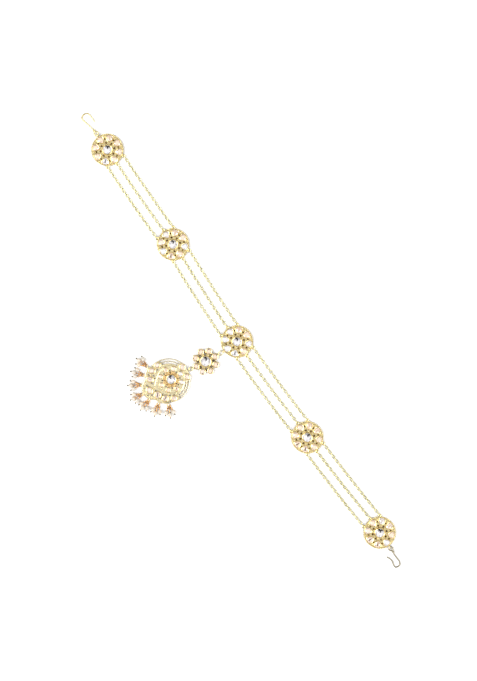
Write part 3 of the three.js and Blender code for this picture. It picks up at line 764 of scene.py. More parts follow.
for number, painted_dark_side, painted_bar_side in zip(range(1, 6), PAINTED_DARK_SIDES, PAINTED_BAR_SIDES):
    node = f"motif_{number}"
    disc_place = Matrix.Translation(centre_of(node + "_centre_stone"))
    hook_side = {1: -1, 5: 1}.get(number)
    bodies = [disc_plate, disc_rim]
    if hook_side:
        bodies.append(standing_eye(hook_side * HOOK_EYE["radius"], 0, 0.0, HOOK_EYE))
    if number == 3:
        bodies.append(standing_eye(0, -SMALL_EYE["radius"]))
    setting = ringed(bodies, gold, {"Element": granule, **RIM_GRANULES}, {"Element": granule, **CUP_GRANULES},
                     {"Element": leaf_wire, **LEAF_WIRES}, {"Element": leaf_bead, **LEAF_BEADS})
    finished(f"disc_{number}_setting", setting, disc_place, gold, [node + "_setting"])
    jewelled(f"disc_{number}", node + "_setting", disc_place, disc_cup, DISC_RING, petal_bezel, petal_stone,
             seed=10 + number, painted_bar_angle=math.radians(painted_bar_side))
    stone = cut_stone(**DISC_STONE, seed=20 + number, painted_dark_side=painted_dark_side)
    finished(f"disc_{number}_centre_stone", stone, disc_place, kundan,
             [node + "_centre_stone"])
    eyes = []
    for side, row in ((side, row) for side in (-1, 1) if side != hook_side for row in (-1, 0, 1)):
        eye_x, eye_y = side * CHAIN_EYE["row_x"][abs(row)], row * CHAIN_EYE["row_y"]
        eyes.append(placed(eye_ring, spot(eye_x, eye_y, CHAIN_EYE["height"])))
    finished(f"disc_{number}_chain_eyes", mesh_of(eyes), disc_place, eye_gold)


# The chains: three rows in each of the four spans, oval links of drawn wire, each turned a quarter
# against the one before and closed round it. The end links stand in the discs' eyes, the others lean a
# little, as a chain lies on a table.
LINK = {"length": 2.8, "width": 1.88, "wire": 0.47, "sides": 14, "wire_sides": 6, "drift": 0.16}
LONGEST_PITCH = 1.84
CHAIN_REST = {"height": 0.96, "lean": 0.06, "settling": 14.0, "bow": 0.3, "steps": 12}

chain_gold = gold_finish("chain_gold", (240, 232, 176), (146, 134, 78), 0.2, 1.5, 0.22)

chain_nodes, chain_in = new_tree("chain_of_links", {
    "Links": "Int", "Link Length": "Float", "Link Width": "Float", "Wire": "Float", "Drift": "Float",
    "Drift Waves": "Float", "Finish": "Material",
})
chain_route = chain_nodes.node("GeometryNodeResampleCurve", None, {
    "Curve": chain_in["Geometry"], "Count": chain_in["Links"],
})
chain_index = chain_nodes.node("GeometryNodeInputIndex")
chain_share = chain_index / (chain_in["Links"] - 1)
chain_wave = chain_share * chain_in["Drift Waves"] * math.pi
chain_settled = chain_share * (1 - chain_share) * CHAIN_REST["settling"]
chain_lean = chain_nodes.math("MINIMUM", chain_settled, 1.0) * CHAIN_REST["lean"]
chain_sway = chain_in["Drift"] * chain_nodes.math("SINE", chain_wave)
chain_roll = (chain_index + 1) * (math.pi / 2) + chain_lean + chain_sway
chain_along = chain_nodes.node("FunctionNodeAlignRotationToVector", {"axis": "X"}, {
    "Vector": chain_nodes.node("GeometryNodeInputTangent"),
})
chain_turn = chain_nodes.node("FunctionNodeRotateRotation", {"rotation_space": "LOCAL"}, {
    "Rotation": chain_along,
    "Rotate By": chain_nodes.node("FunctionNodeAxisAngleToRotation", None, {
        "Axis": (1.0, 0.0, 0.0), "Angle": chain_roll,
    }),
})
link_ring = (chain_in["Link Width"] - chain_in["Wire"]) * 0.5
link_round = chain_nodes.node("GeometryNodeCurvePrimitiveCircle", None, {
    "Resolution": LINK["sides"], "Radius": link_ring,
})
link_place = chain_nodes.node("GeometryNodeInputPosition")
link_x = chain_nodes.node("ShaderNodeSeparateXYZ", None, {"Vector": link_place}, output="X")
link_stretch = (chain_in["Link Length"] - chain_in["Link Width"]) * 0.5
link_pull = chain_nodes.math("SIGN", link_x) * link_stretch
link_oval = chain_nodes.node("GeometryNodeSetPosition", None, {
    "Geometry": link_round, "Offset": chain_nodes.node("ShaderNodeCombineXYZ", None, {"X": link_pull}),
})
link_section = chain_nodes.node("GeometryNodeCurvePrimitiveCircle", None, {
    "Resolution": LINK["wire_sides"], "Radius": chain_in["Wire"] * 0.5,
})
link_body = chain_nodes.node("GeometryNodeCurveToMesh", None, {
    "Curve": link_oval, "Profile Curve": link_section,
})
chain_links = chain_nodes.node("GeometryNodeInstanceOnPoints", None, {
    "Points": chain_route, "Instance": link_body, "Rotation": chain_turn,
})
end_tree(chain_nodes, chain_links, chain_in["Finish"])


link_reach = CHAIN_EYE["ring"] - CHAIN_EYE["wire"] + (LINK["length"] - LINK["wire"]) / 2 - LINK["wire"] / 2
for span in range(1, 5):
    span_start = centre_of(f"motif_{span}_centre_stone")
    span_end = centre_of(f"motif_{span + 1}_centre_stone")
    for row, row_name in ((1, "upper"), (0, "middle"), (-1, "lower")):
        eye_x, eye_y = CHAIN_EYE["row_x"][abs(row)], row * CHAIN_EYE["row_y"]
        first = span_start + Vector((link_reach + eye_x, eye_y, CHAIN_EYE["height"]))
        last = span_end + Vector((-link_reach - eye_x, eye_y, CHAIN_EYE["height"]))
        points = []
        for k in range(CHAIN_REST["steps"] + 1):
            share = k / CHAIN_REST["steps"]
            bow = -4 * CHAIN_REST["bow"] * share * (1 - share)
            settled = min(CHAIN_REST["settling"] * share * (1 - share), 1)
            drop = (CHAIN_REST["height"] - CHAIN_EYE["height"]) * settled
            points.append(tuple(first.lerp(last, share) + Vector((0, bow, drop))))
        links = 2 * math.ceil((last - first).length / LONGEST_PITCH / 2) + 1
        chain = formed(route_curve([(points, False)]), [(chain_nodes.tree, {
            "Links": links, "Link Length": LINK["length"], "Link Width": LINK["width"], "Wire": LINK["wire"],
            "Drift": LINK["drift"], "Drift Waves": 1.0 + span + row, "Finish": chain_gold,
        })])
        chain.shade_smooth()
        chain_name = f"chain_{span}_{row_name}"
        finished(chain_name + "_links", chain, Matrix(), chain_gold, [chain_name])


# The two hooks at the ends: hard drawn wire with an eye linked to the disc's eye, three turns of thin
# wire bound round the leg below it, and the leg bent back so that it grips the hair.
HOOK = {
    "wire": 0.36, "sides": 10, "eye": 1.25, "eye_sides": 28, "leg_steps": 8, "rest_height": 0.38,
    "binding_wire": 0.19, "binding_turns": 3, "binding_steps": 14, "binding_grip": 0.8, "binding_start": 0.55,
}
HOOK_ROUTES = {
    "hook_left": [
        (1.3, 0.05), (7.5, -1.0), (11.9, -1.85), (13.56, -0.7), (13.71, 1.3), (12.8, 2.9), (10.2, 3.3),
        (6.3, 3.15),
    ],
    "hook_right": [
        (1.3, 0.05), (5.0, -0.35), (9.0, -0.15), (11.06, -1.2), (11.16, -3.4), (9.9, -4.35), (6.2, -3.6),
        (2.6, -4.8),
    ],
}

hook_wires = {
    "hook_left": gold_finish("left_hook_wire", (232, 218, 158), (172, 150, 88), 0.2, 1.2, 0.25),
    "hook_right": gold_finish("right_hook_wire", (178, 168, 142), (106, 96, 72), 0.2, 1.2, 0.25),
}


def smooth_route(points, steps):
    """More points on a smooth line through the given ones."""
    knots = [Vector(point) for point in points]
    knots = [knots[0] * 2 - knots[1], *knots, knots[-1] * 2 - knots[-2]]
    smooth = []
    for a, b, c, d in zip(knots, knots[1:], knots[2:], knots[3:]):
        for k in range(steps):
            t = k / steps
            smooth.append(tuple(0.5 * (2 * b + (c - a) * t + (2 * a - 5 * b + 4 * c - d) * t ** 2
                                       + (3 * b - a - 3 * c + d) * t ** 3)))
    return [*smooth, tuple(knots[-2])]


def gathered(meshes):
    """Several meshes in millimetres as one."""
    work = bmesh.new()
    for mesh in meshes:
        work.from_mesh(mesh)
    whole = bpy.data.meshes.new("gathered")
    work.to_mesh(whole)
    work.free()
    return whole


for hook_name, side, disc_name in (("hook_left", -1, "motif_1"), ("hook_right", 1, "motif_5")):
    route = HOOK_ROUTES[hook_name]
    hook_wire = hook_wires[hook_name]
    furthest = max(along for along, across in route)
    fall = math.atan((HOOK_EYE["height"] - HOOK["rest_height"]) / furthest)
    eye_centre = centre_of(disc_name + "_centre_stone")
    eye_centre.x += side * (HOOK_EYE["radius"] + HOOK["eye"])
    eye_centre.z = HOOK_EYE["height"]
    tilted = Matrix.Translation(eye_centre) @ Matrix.Rotation(side * fall, 4, "Y")
    leg = smooth_route([(side * along, across, 0) for along, across in route], HOOK["leg_steps"])
    coil = HOOK["wire"] + HOOK["binding_wire"] * HOOK["binding_grip"]
    binding = []
    for k in range(HOOK["binding_steps"] * HOOK["binding_turns"] + 1):
        turns = k / HOOK["binding_steps"]
        along = HOOK["eye"] + HOOK["binding_start"] + 2 * HOOK["binding_wire"] * turns
        binding.append((side * along, coil * math.cos(FULL_TURN * turns), coil * math.sin(FULL_TURN * turns)))
    eye_loop = raised(loop_of(HOOK["eye"], HOOK["eye_sides"]), 0)
    hook = gathered([
        wires([(eye_loop, True), (leg, False)], HOOK["wire"], hook_wire, HOOK["sides"]),
        wires([(binding, False)], HOOK["binding_wire"], hook_wire),
    ])
    finished(hook_name + "_wire", hook, tilted, hook_wire, [hook_name])


# The flower link between the band and the pendant: a cup with a round stone, eight round stones in bezels
# soldered round it on a small pierced plate, and a standing eye at its top and its foot.
PENDANT_TURN = math.radians(-7.5)
FLOWER = {
    "plate_radius": 5.3, "plate_sides": 48, "plate_bottom": 0.15, "plate_top": 1.1, "plate_edge": 0.1,
    "funnel": 0.3, "cup_inside": 3.1, "cup_outside": 3.55, "cup_top": 2.15, "bead": 0.4,
    "eye_radius": 8.85, "painted_dark_side": 152,
}
FLOWER_HOLES = [(4.4, 0.72, 1)]
FLOWER_RING = {"Count": 8, "Radius": 6.4, "Height": 1.3}
FLOWER_BEADS = {"Count": 8, "Radius": 5.95, "Height": 1.2, "First Angle": math.pi / 8}
FLOWER_GRANULES = {"Count": 36, "Radius": 3.75, "Height": 1.2}
FLOWER_BEZEL = {
    "half_length": 2.0, "half_width": 2.0, "pear": 0.0, "wall": 0.36, "bottom": -1.15, "top": 0.62,
}
# The flower's petal stones are painted dark on one side, as a reflection of the dark.
FLOWER_PETAL_STONE = {
    "half_length": 1.66, "half_width": 1.66, "pear": 0.0, "foot": 0.0, "girdle": 0.5, "table": 1.15,
    "seed": 31, "painted_dark_side": 20, "dark_reach": 10,
}
FLOWER_STONE = {"half_length": 3.0, "half_width": 3.0, "pear": 0.0, "foot": 1.2, "girdle": 2.0, "table": 3.1}

flower_place = Matrix.Translation(centre_of("flower_centre_stone")) @ Matrix.Rotation(PENDANT_TURN, 4, "Z")
flower_plate = pierced_plate(
    loop_of(FLOWER["plate_radius"], FLOWER["plate_sides"]),
    holes_between(FLOWER_HOLES, FLOWER_RING["Count"]),
    FLOWER["plate_bottom"], FLOWER["plate_top"], FLOWER["plate_edge"], FLOWER["funnel"],
)
flower_cup = cup_body(FLOWER["cup_inside"], FLOWER["cup_outside"], FLOWER["plate_bottom"], FLOWER["cup_top"])
flower_eyes = [standing_eye(0, end * FLOWER["eye_radius"]) for end in (-1, 1)]
round_bezel = element("round_bezel", mesh_of([bezel_body(**FLOWER_BEZEL)]))
round_stone = element("round_stone", cut_stone(**FLOWER_PETAL_STONE))
small_bead = bead_element("small_bead", FLOWER["bead"])
flower_setting = ringed([flower_plate, *flower_eyes], gold,
                        {"Element": small_bead, **FLOWER_BEADS}, {"Element": granule, **FLOWER_GRANULES})
finished("flower_link_setting", flower_setting, flower_place, gold, ["flower_setting"])
jewelled("flower_link", "flower_setting", flower_place, flower_cup, FLOWER_RING, round_bezel, round_stone,
         seed=5)
flower_stone = cut_stone(**FLOWER_STONE, seed=41, painted_dark_side=FLOWER["painted_dark_side"])
finished("flower_link_centre_stone", flower_stone, flower_place, kundan,
         ["flower_centre_stone"])


# The pendant: a moon-shaped frame of flat gold, cut through in teardrops between its stones. Soldered on it
# are three wires round each horn, one round the medallion and one along the scalloped lower edge, scrolls
# and rows of granules. The medallion is a stone in a pierced collar, ringed by eight stones.
PENDANT = {
    "plate_bottom": 0.3, "plate_top": 1.15, "plate_edge": 0.08, "hole_sides": 12, "eye_y": 13.9,
    "cup_inside": 2.8, "cup_outside": 3.2, "cup_bottom": 0.6, "cup_top": 2.5, "painted_dark_side": 168,
}
MEDALLION_MIDDLE = (0.15, 1.8)
MEDALLION_HOLES = [(5.3, 0.46, 1), (4.08, 0.36, 1)]
MEDALLION_RING = {"Count": 8, "Radius": 6.5, "Height": 1.2, "First Angle": math.radians(93)}
COLLAR = {
    "inside": 3.25, "inside_sides": 40, "outside": 4.8, "sides": 64, "lobes": 16, "lobe_depth": 0.14,
    "bottom": 1.16, "top": 1.7, "edge": 0.08, "hole_sides": 14,
}
COLLAR_HOLES = [(4.08, 0.36, 1)]
COLLAR_GRANULES = {"Count": 48, "Radius": 4.55, "Height": 1.72}
COLLAR_INNER_GRANULES = {"Count": 40, "Radius": 3.52, "Height": 1.72}
TOP_ARC = (13.2, -24, 204, 76)
# Inner and outer radius, first and last angle.
HORN_GAPS = [(11.62, 12.7, 6, 61), (10.1, 11.22, 10, 57), (11.62, 12.7, 119, 178), (10.1, 11.22, 123, 174)]
STEPS = {"gap": 18, "edge": 3, "edge_wire": 5, "foot": 4}
LOWER_EDGE = [
    (-12.9, -7.7), (-9.6, -11.0), (-7.0, -12.4), (-5.4, -14.9), (-3.2, -16.4), (0, -17.2), (3.2, -16.3),
    (5.2, -14.7), (6.9, -12.2), (9.4, -10.8), (12.6, -6.6),
]
# Along, across, size and turn.
TEARDROPS = [
    (-8.7, -2.9, 0.6, 75), (-6.6, -6.6, 0.62, 50), (-2.9, -9.3, 0.72, 60), (2.3, -9.7, 0.7, 120),
    (6.0, -6.9, 0.6, 140), (8.4, -3.3, 0.55, 110), (-12.15, -4.2, 0.5, 250), (-8.5, -8.9, 0.55, 225),
    (-3.1, -12.6, 0.62, 240), (3.1, -12.5, 0.62, 300), (7.3, -9.0, 0.55, 315), (11.3, -4.7, 0.5, 290),
    (-2.3, -15.0, 0.5, 250), (2.4, -14.9, 0.5, 290), (-9.5, -0.7, 0.42, 90), (9.2, -1.0, 0.42, 95),
    (-5.0, -6.9, 0.42, 55), (4.6, -8.0, 0.4, 130), (-1.9, 9.9, 0.5, 270), (1.7, 9.9, 0.5, 270),
]
TEAR = {"length": 1.25, "width": 0.72, "pear": 0.45, "sides": 14}
# Along, across, turn, size, and how dark the painted bar of dark reflection on the table is.
RIM_STONES = {
    "leaf_left": (-3.2, 11.2, 155, 0.95, 0.3), "leaf_right": (3.2, 11.2, 25, 0.95, 0.0),
    "rim_1": (-11.1, -1.6, 262, 0.85, 0.0), "rim_2": (-9.7, -6.0, 238, 0.95, 0.0),
    "rim_3": (-5.7, -9.4, 215, 1.0, 0.6), "rim_4": (0, -12.7, 0, 1.0, 0.0),
    "rim_5": (4.7, -9.6, 325, 1.0, 1.0), "rim_6": (8.6, -6.4, 302, 0.95, 1.0),
    "rim_7": (11.0, -1.8, 278, 0.85, 0.4),
}
RIM_TINT = 0.35
RIM_CUP = {"half_length": 2.5, "half_width": 2.1, "pear": 0.0, "wall": 0.38, "bottom": 0.6, "top": 2.1}
RIM_STONE = {"half_length": 2.06, "half_width": 1.66, "pear": 0.0, "foot": 1.3, "girdle": 1.95, "table": 2.75}
LEAF_SHARPNESS = 0.35
# Along, across, and the direction in which the cluster lies.
CLUSTERS = [
    (-13.2, -7.4, 205), (-9.5, -11.7, 225), (-5.2, -15.6, 246), (0, -17.4, 270), (5.0, -15.4, 292),
    (9.4, -11.4, 315), (12.9, -6.4, 340),
]
# Along, across, size, turn, and the side to which the scroll winds.
SCROLLS = [
    (-9.3, 1.2, 0.6, 80, 1), (-7.33, -4.13, 0.75, 30, 1), (0.0, -9.7, 0.8, 90, -1), (7.2, -4.1, 0.5, 150, -1),
    (9.4, 1.2, 0.6, 100, -1), (-3.65, -13.9, 0.55, 240, 1), (3.65, -13.8, 0.55, 300, -1),
    (0.0, 11.4, 0.75, 90, 1),
]
# Along, across and radius.
BEADS = [
    (0.15, -15.6, 0.5), (-10.45, -3.7, 0.34), (-7.7, -7.8, 0.36), (-2.85, -11.1, 0.42), (2.5, -11.2, 0.36),
    (6.7, -8.1, 0.34), (9.9, -4.1, 0.34), (-11.4, 0.9, 0.34), (11.2, 0.8, 0.34), (0.0, 12.6, 0.3),
    (-6.0, 9.7, 0.34), (6.0, 9.7, 0.34),
]
BEAD_RISE = 0.4
SCROLL = {"turns": 1.5, "winding": 0.78, "steps": 26}
WIRE_HEIGHT = 1.2
FRAME_WIRE = 0.28
HORN_WIRE = 0.23
SCROLL_WIRE = 0.17
# Each arc has its radius, its first and last angle, and its steps.
MEDALLION_ARCS = [(8.35, 128, 236, 40), (8.35, -62, 52, 40)]
MEDALLION_FOOT = [(-4.0, -5.7), (-2.4, -7.3), (-0.9, -8.5), (1.0, -7.4), (3.4, -6.1)]
HORN_ARCS = [
    (12.95, -20, 200, 80), (11.42, 3, 62, 30), (11.42, 118, 177, 30), (9.9, 5, 62, 30), (9.9, 118, 175, 30),
]
EDGE_WIRE_SHARES = (0.965, 0.975)
EDGE_GRANULE_SHARES = (0.905, 0.93)
GRANULE_ARCS = [(9.1, 8, 46, 20), (9.1, 134, 172, 20), (7.95, 236, 290, 16)]
FINE_GRANULE = {"radius": 0.2, "pitch": 0.62}
# Painted shade: a dark wire along the lower right edge of the frame, standing in for shade there.
PAINTED_DARK_EDGE = {"arc": (13.0, -36, -10, 14), "height": 1.05, "wire": 0.24}
MEDALLION_BEZEL = {
    "half_length": 1.7, "half_width": 1.62, "pear": 0.12, "wall": 0.3, "bottom": -0.6, "top": 0.5,
}
MEDALLION_STONE = {
    "half_length": 1.42, "half_width": 1.34, "pear": 0.12, "foot": 0.0, "girdle": 0.42, "table": 0.9,
}
PENDANT_STONE = {
    "half_length": 2.7, "half_width": 2.7, "pear": 0.0, "foot": 1.5, "girdle": 2.35, "table": 3.4,
}

pendant_gold = gold_finish("pendant_gold", (253, 242, 202), (146, 116, 56), 0.1, 1.2, ground=1.18)
deep_gold = gold_finish("deep_gold", (246, 212, 150), (140, 92, 40), 1.0, 1.9, 0.24)
# Dark gold: the tip balls' own tarnish, and the painted shade of the dark edge wire.
tarnish_and_painted_shade = gold_finish("tarnish_and_painted_shade", (116, 114, 90), (50, 50, 38), 0.6, 1.9, 0.25)

row_nodes, row_in = new_tree("granules_in_a_row", {
    "Element": "Object", "Pitch": "Float", "Finish": "Material",
})
row_points = row_nodes.node("GeometryNodeResampleCurve", {"mode": "LENGTH"}, {
    "Curve": row_in["Geometry"], "Length": row_in["Pitch"],
})
row_shape = row_nodes.node("GeometryNodeObjectInfo", None, {"Object": row_in["Element"]}, "Geometry")
row_set = row_nodes.node("GeometryNodeInstanceOnPoints", None, {"Points": row_points, "Instance": row_shape})
end_tree(row_nodes, row_set, row_in["Finish"])


def on_circle(radius, angle, middle=(0.0, 0.0)):
    """A flat point at an angle in degrees round a middle."""
    turn = math.radians(angle)
    return (middle[0] + radius * math.cos(turn), middle[1] + radius * math.sin(turn))


def arc(radius, first, last, steps, middle=(0.0, 0.0)):
    return [on_circle(radius, first + (last - first) * k / steps, middle) for k in range(steps + 1)]


def scroll(x, y, size, turn, hand):
    """A wire scroll that winds inwards from its outer end."""
    points = []
    for k in range(SCROLL["steps"] + 1):
        share = k / SCROLL["steps"]
        angle = math.radians(turn) + hand * SCROLL["turns"] * FULL_TURN * share
        reach = size * (1.0 - SCROLL["winding"] * share)
        points.append((x + reach * math.cos(angle), y + reach * math.sin(angle)))
    return points


def laid(lines, z=WIRE_HEIGHT):
    """Open routes along flat lines, all at one height."""
    return [(raised(line, z), False) for line in lines]


medallion_spot = spot(*MEDALLION_MIDDLE)
pendant_place = Matrix.Translation(centre_of("pendant_centre_stone")) @ Matrix.Rotation(PENDANT_TURN, 4, "Z")
pendant_place = pendant_place @ medallion_spot.inverted()
medallion_place = pendant_place @ medallion_spot

pendant_outline = arc(*TOP_ARC) + smooth_route(LOWER_EDGE, STEPS["edge"])
pendant_holes = []
for inner, outer, start, end in HORN_GAPS:
    outer_side, inner_side = (arc(radius, start, end, STEPS["gap"]) for radius in (outer, inner))
    pendant_holes.append(outer_side + inner_side[::-1])
between_stones = (MEDALLION_RING["Count"], MEDALLION_RING["First Angle"])
for hole in holes_between(MEDALLION_HOLES, *between_stones, PENDANT["hole_sides"]):
    pendant_holes.append([(x + MEDALLION_MIDDLE[0], y + MEDALLION_MIDDLE[1]) for x, y in hole])
for x, y, size, turn in TEARDROPS:
    tear = pear_loop(size * TEAR["length"], size * TEAR["width"], TEAR["pear"], TEAR["sides"])
    turned_tear = spot(x, y, 0, math.radians(turn))
    pendant_holes.append([tuple((turned_tear @ Vector((*point, 0))).xy) for point in tear])
pendant_plate = pierced_plate(pendant_outline, pendant_holes, PENDANT["plate_bottom"], PENDANT["plate_top"],
                              PENDANT["plate_edge"])

cups = []
for k, (stone_name, (x, y, turn, scale, barred)) in enumerate(RIM_STONES.items()):
    place = spot(x, y, 0, math.radians(turn))
    sharp = LEAF_SHARPNESS if "leaf" in stone_name else 0.0
    cup, cut = (
        {key: size * scale if "half" in key else size for key, size in {**sizes, "sharp": sharp}.items()}
        for sizes in (RIM_CUP, RIM_STONE)
    )
    cups.append(placed(bezel_body(**cup), place))
    stone = cut_stone(**cut, seed=60 + k)
    for name, value in (("tint", RIM_TINT), ("barred", barred)):
        kept = stone.attributes.new(name, "FLOAT", "POINT")
        kept.data.foreach_set("value", [value] * len(stone.vertices))
    finished(f"pendant_{stone_name}_cut_stone", stone, pendant_place @ place, kundan,
             [f"pendant_{stone_name}_stone"])

pendant_eyes = [standing_eye(0, PENDANT["eye_y"])]
pendant_eyes += [standing_eye(x, y, math.radians(direction)) for x, y, direction in CLUSTERS]
beads = [placed(ball_body(size), spot(x, y, PENDANT["plate_top"] + size * BEAD_RISE)) for x, y, size in BEADS]
first_arc, last_arc = (raised(arc(*sizes, MEDALLION_MIDDLE), WIRE_HEIGHT) for sizes in MEDALLION_ARCS)
foot_left, foot_right = (smooth_route(raised(foot, WIRE_HEIGHT), STEPS["foot"])
                         for foot in (MEDALLION_FOOT[:3], MEDALLION_FOOT[2:]))
medallion_line = first_arc + foot_left + foot_right + last_arc
edge_line, edge_row = (
    smooth_route([(x * along, y * across, WIRE_HEIGHT) for x, y in line], STEPS["edge_wire"])
    for line, (along, across) in ((LOWER_EDGE, EDGE_WIRE_SHARES), (LOWER_EDGE[1:-1], EDGE_GRANULE_SHARES))
)
fine_granule = bead_element("fine_granule", FINE_GRANULE["radius"], 8, 4)
granule_rows = [(edge_row, False), *laid([arc(*row, MEDALLION_MIDDLE) for row in GRANULE_ARCS])]
pendant_work = gathered([
    mesh_of([pendant_plate, *pendant_eyes, *beads]),
    wires([(medallion_line, False), (edge_line, False)], FRAME_WIRE, pendant_gold),
    wires(laid([arc(*row) for row in HORN_ARCS]), HORN_WIRE, pendant_gold),
    wires(laid([scroll(*sizes) for sizes in SCROLLS]), SCROLL_WIRE, pendant_gold, sides=6),
    formed(route_curve(granule_rows), [
        (row_nodes.tree, {"Element": fine_granule, "Pitch": FINE_GRANULE["pitch"], "Finish": pendant_gold}),
    ]),
])
finished("pendant_metalwork", pendant_work, pendant_place, pendant_gold, ["pendant_frame"])
# The painted shade along the lower right edge, laid as a dark wire over the frame.
painted_dark_edge = wires(laid([arc(*PAINTED_DARK_EDGE["arc"])], PAINTED_DARK_EDGE["height"]), PAINTED_DARK_EDGE["wire"], tarnish_and_painted_shade)
finished("pendant_worn_edge", painted_dark_edge, pendant_place, tarnish_and_painted_shade)

medallion_cup = cup_body(*(PENDANT["cup_" + size] for size in ("inside", "outside", "bottom", "top")))
medallion_bezel = element("medallion_bezel", mesh_of([bezel_body(**MEDALLION_BEZEL)]))
medallion_stone = element("medallion_stone", cut_stone(**MEDALLION_STONE, seed=51))
medallion_metal = ringed([medallion_cup], bezel_gold, {**MEDALLION_RING, "Element": medallion_bezel})
finished("pendant_medallion_bezels", medallion_metal, medallion_place, bezel_gold, ["pendant_frame"])
finished("pendant_rim_bezels", mesh_of(cups), pendant_place, bezel_gold, ["pendant_frame"])
medallion_stones = ringed([], kundan, {**MEDALLION_RING, "Element": medallion_stone, "Seed": 8})
finished("pendant_medallion_stones", medallion_stones, medallion_place, kundan,
         ["pendant_frame"])
collar_holes = [loop_of(COLLAR["inside"], COLLAR["inside_sides"])]
collar_holes += holes_between(COLLAR_HOLES, *between_stones, COLLAR["hole_sides"])
collar_outline = loop_of(COLLAR["outside"], COLLAR["sides"], COLLAR["lobes"], COLLAR["lobe_depth"])
collar_plate = pierced_plate(collar_outline, collar_holes, COLLAR["bottom"], COLLAR["top"], COLLAR["edge"])
collar = ringed([collar_plate], deep_gold, {"Element": fine_granule, **COLLAR_GRANULES},
                {"Element": fine_granule, **COLLAR_INNER_GRANULES})
finished("pendant_medallion_ring", collar, medallion_place, deep_gold, ["pendant_frame"])
medallion_centre = cut_stone(**PENDANT_STONE, seed=52, painted_dark_side=PENDANT["painted_dark_side"])
finished("pendant_medallion_stone", medallion_centre, medallion_place, kundan,
         ["pendant_centre_stone"])


# The two jump rings: plain closed wire rings, drawn oval, one between the band and the flower link and one
# between the flower link and the pendant.
JUMP_RING = {"radius": 1.15, "wire": 0.22, "around": 28}

jump_gold = gold_finish("jump_ring_gold", (222, 206, 128), (128, 108, 50), 0.5, 1.4, 0.24)
jump_ends = {
    "jump_ring_upper": (centre_of("motif_3_centre_stone") + Vector((0, -SMALL_EYE["radius"], 0)),
                        flower_place @ Vector((0, FLOWER["eye_radius"], 0))),
    "jump_ring_lower": (flower_place @ Vector((0, -FLOWER["eye_radius"], 0)),
                        pendant_place @ Vector((0, PENDANT["eye_y"], 0))),
}
for ring_name, (start, end) in jump_ends.items():
    half_way = (end - start) / 2
    radius = min(half_way.length, JUMP_RING["radius"])
    middle = (start + end) / 2
    turned = spot(middle.x, middle.y, SMALL_EYE["height"], math.atan2(half_way.y, half_way.x))
    ring = ring_body(radius, JUMP_RING["wire"], JUMP_RING["around"], stretch=half_way.length - radius)
    finished(ring_name + "_wire", mesh_of([ring]), turned, jump_gold, [ring_name])


# The seven pearl clusters: a wire ring through the frame's eye, and on it three pins, each looped at the
# top, with a round pearl and a small ball at the tip. They lie fanned out on the board.
CLUSTER = {
    "ring": 0.85, "wire": 0.22, "height": 0.95, "pin": 0.16, "pin_sides": 8, "pin_start": 0.3, "pearl": 1.3,
    "tip": 0.48, "tip_gap": 0.15, "cap": 0.62, "cap_flatness": 0.42, "cap_overlap": 0.06,
}
BALL_SIDES = {"cap": (12, 6), "pearl": (24, 14), "tip": (12, 8)}
# Angle on the ring, direction, and distance to the pearl.
PINS = [(50, 24, 3.55), (0, 0, 4.5), (-50, -24, 3.55)]
PIN_LOOP = {"ring": 0.46, "wire": 0.18, "around": 14, "sides": 6}
PIN_LOOP_PLACE = 0.12
PIN_TURN = {"ring": 0.33, "wire": 0.15, "around": 14, "sides": 6}
PIN_TURN_PLACES = (0.75, 1.08, 1.41)
PEARL = {
    "cloud": 260.0, "cool_to": 0.35, "warm_from": 0.65, "cool": (200, 194, 182), "warm": (220, 198, 170),
    "roughness": 0.12, "clouded": 0.1, "coat": 0.8, "coat_roughness": 0.05,
}

pearl, pearl_nodes, pearl_shader, pearl_where = new_finish("pearl")
pearl_cloud = pearl_nodes.noise(pearl_where, PEARL["cloud"])
pearl_warmth = pearl_cloud.between(PEARL["cool_to"], PEARL["warm_from"])
pearl_nodes.fill(pearl_shader, {
    "Base Color": pearl_nodes.mix(pearl_warmth, colour(*PEARL["cool"]), colour(*PEARL["warm"])),
    "Roughness": PEARL["roughness"] + pearl_cloud * PEARL["clouded"],
    "Coat Weight": PEARL["coat"], "Coat Roughness": PEARL["coat_roughness"],
})
cluster_gold = gold_finish("cluster_gold", (230, 170, 78), (114, 68, 20), 0.3, 1.6, 0.24)

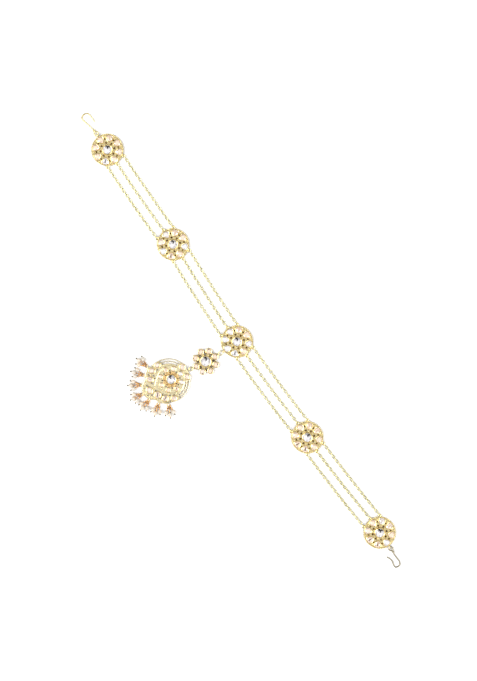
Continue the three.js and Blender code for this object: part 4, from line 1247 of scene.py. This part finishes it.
along_x = Matrix.Rotation(math.pi / 2, 4, "Y")
cap_shape = Matrix.Diagonal((CLUSTER["cap_flatness"], 1, 1, 1))
cluster_ring = ring_body(CLUSTER["ring"], CLUSTER["wire"])
cluster_metal = [placed(cluster_ring, spot(CLUSTER["ring"], 0, CLUSTER["height"]))]
cluster_pearls, cluster_tips = [], []
for start, direction, distance in PINS:
    x, y = on_circle(CLUSTER["ring"], start)
    rise = -math.asin((CLUSTER["pearl"] - CLUSTER["height"]) / distance)
    pin_place = spot(CLUSTER["ring"] + x, y, CLUSTER["height"], math.radians(direction), rise)
    pin_end = distance + CLUSTER["pearl"] + CLUSTER["tip"]
    pin_loop = loop_of(CLUSTER["pin"], CLUSTER["pin_sides"])
    pin = lofted([raised(pin_loop, along) for along in (CLUSTER["pin_start"], pin_end)])
    cap_along = distance - CLUSTER["pearl"] + CLUSTER["cap_overlap"]
    cluster_metal.append(placed(pin, pin_place @ along_x))
    cluster_metal.append(placed(ring_body(**PIN_LOOP), pin_place @ spot(PIN_LOOP_PLACE, 0) @ STANDING))
    for along in PIN_TURN_PLACES:
        cluster_metal.append(placed(ring_body(**PIN_TURN), pin_place @ spot(along, 0) @ along_x))
    cap, ball, tip = (ball_body(CLUSTER[part], *BALL_SIDES[part]) for part in ("cap", "pearl", "tip"))
    cluster_metal.append(placed(cap, pin_place @ spot(cap_along, 0) @ cap_shape))
    cluster_pearls.append(placed(ball, pin_place @ spot(distance, 0)))
    cluster_tips.append(placed(tip, pin_place @ spot(pin_end + CLUSTER["tip_gap"], 0)))

for number, (x, y, direction) in enumerate(CLUSTERS, 1):
    place = pendant_place @ spot(x, y, 0, math.radians(direction))
    replaced = [f"pearl_cluster_{number}"]
    pins = mesh_of(cluster_metal)
    finished(f"cluster_{number}_ring_and_pins", pins, place, cluster_gold, replaced)
    pearls = mesh_of(cluster_pearls, CREASE["bead"])
    finished(f"cluster_{number}_pearls", pearls, place, pearl, replaced)
    tip_balls = mesh_of(cluster_tips, CREASE["bead"])
    finished(f"cluster_{number}_tip_balls", tip_balls, place, tarnish_and_painted_shade, replaced)
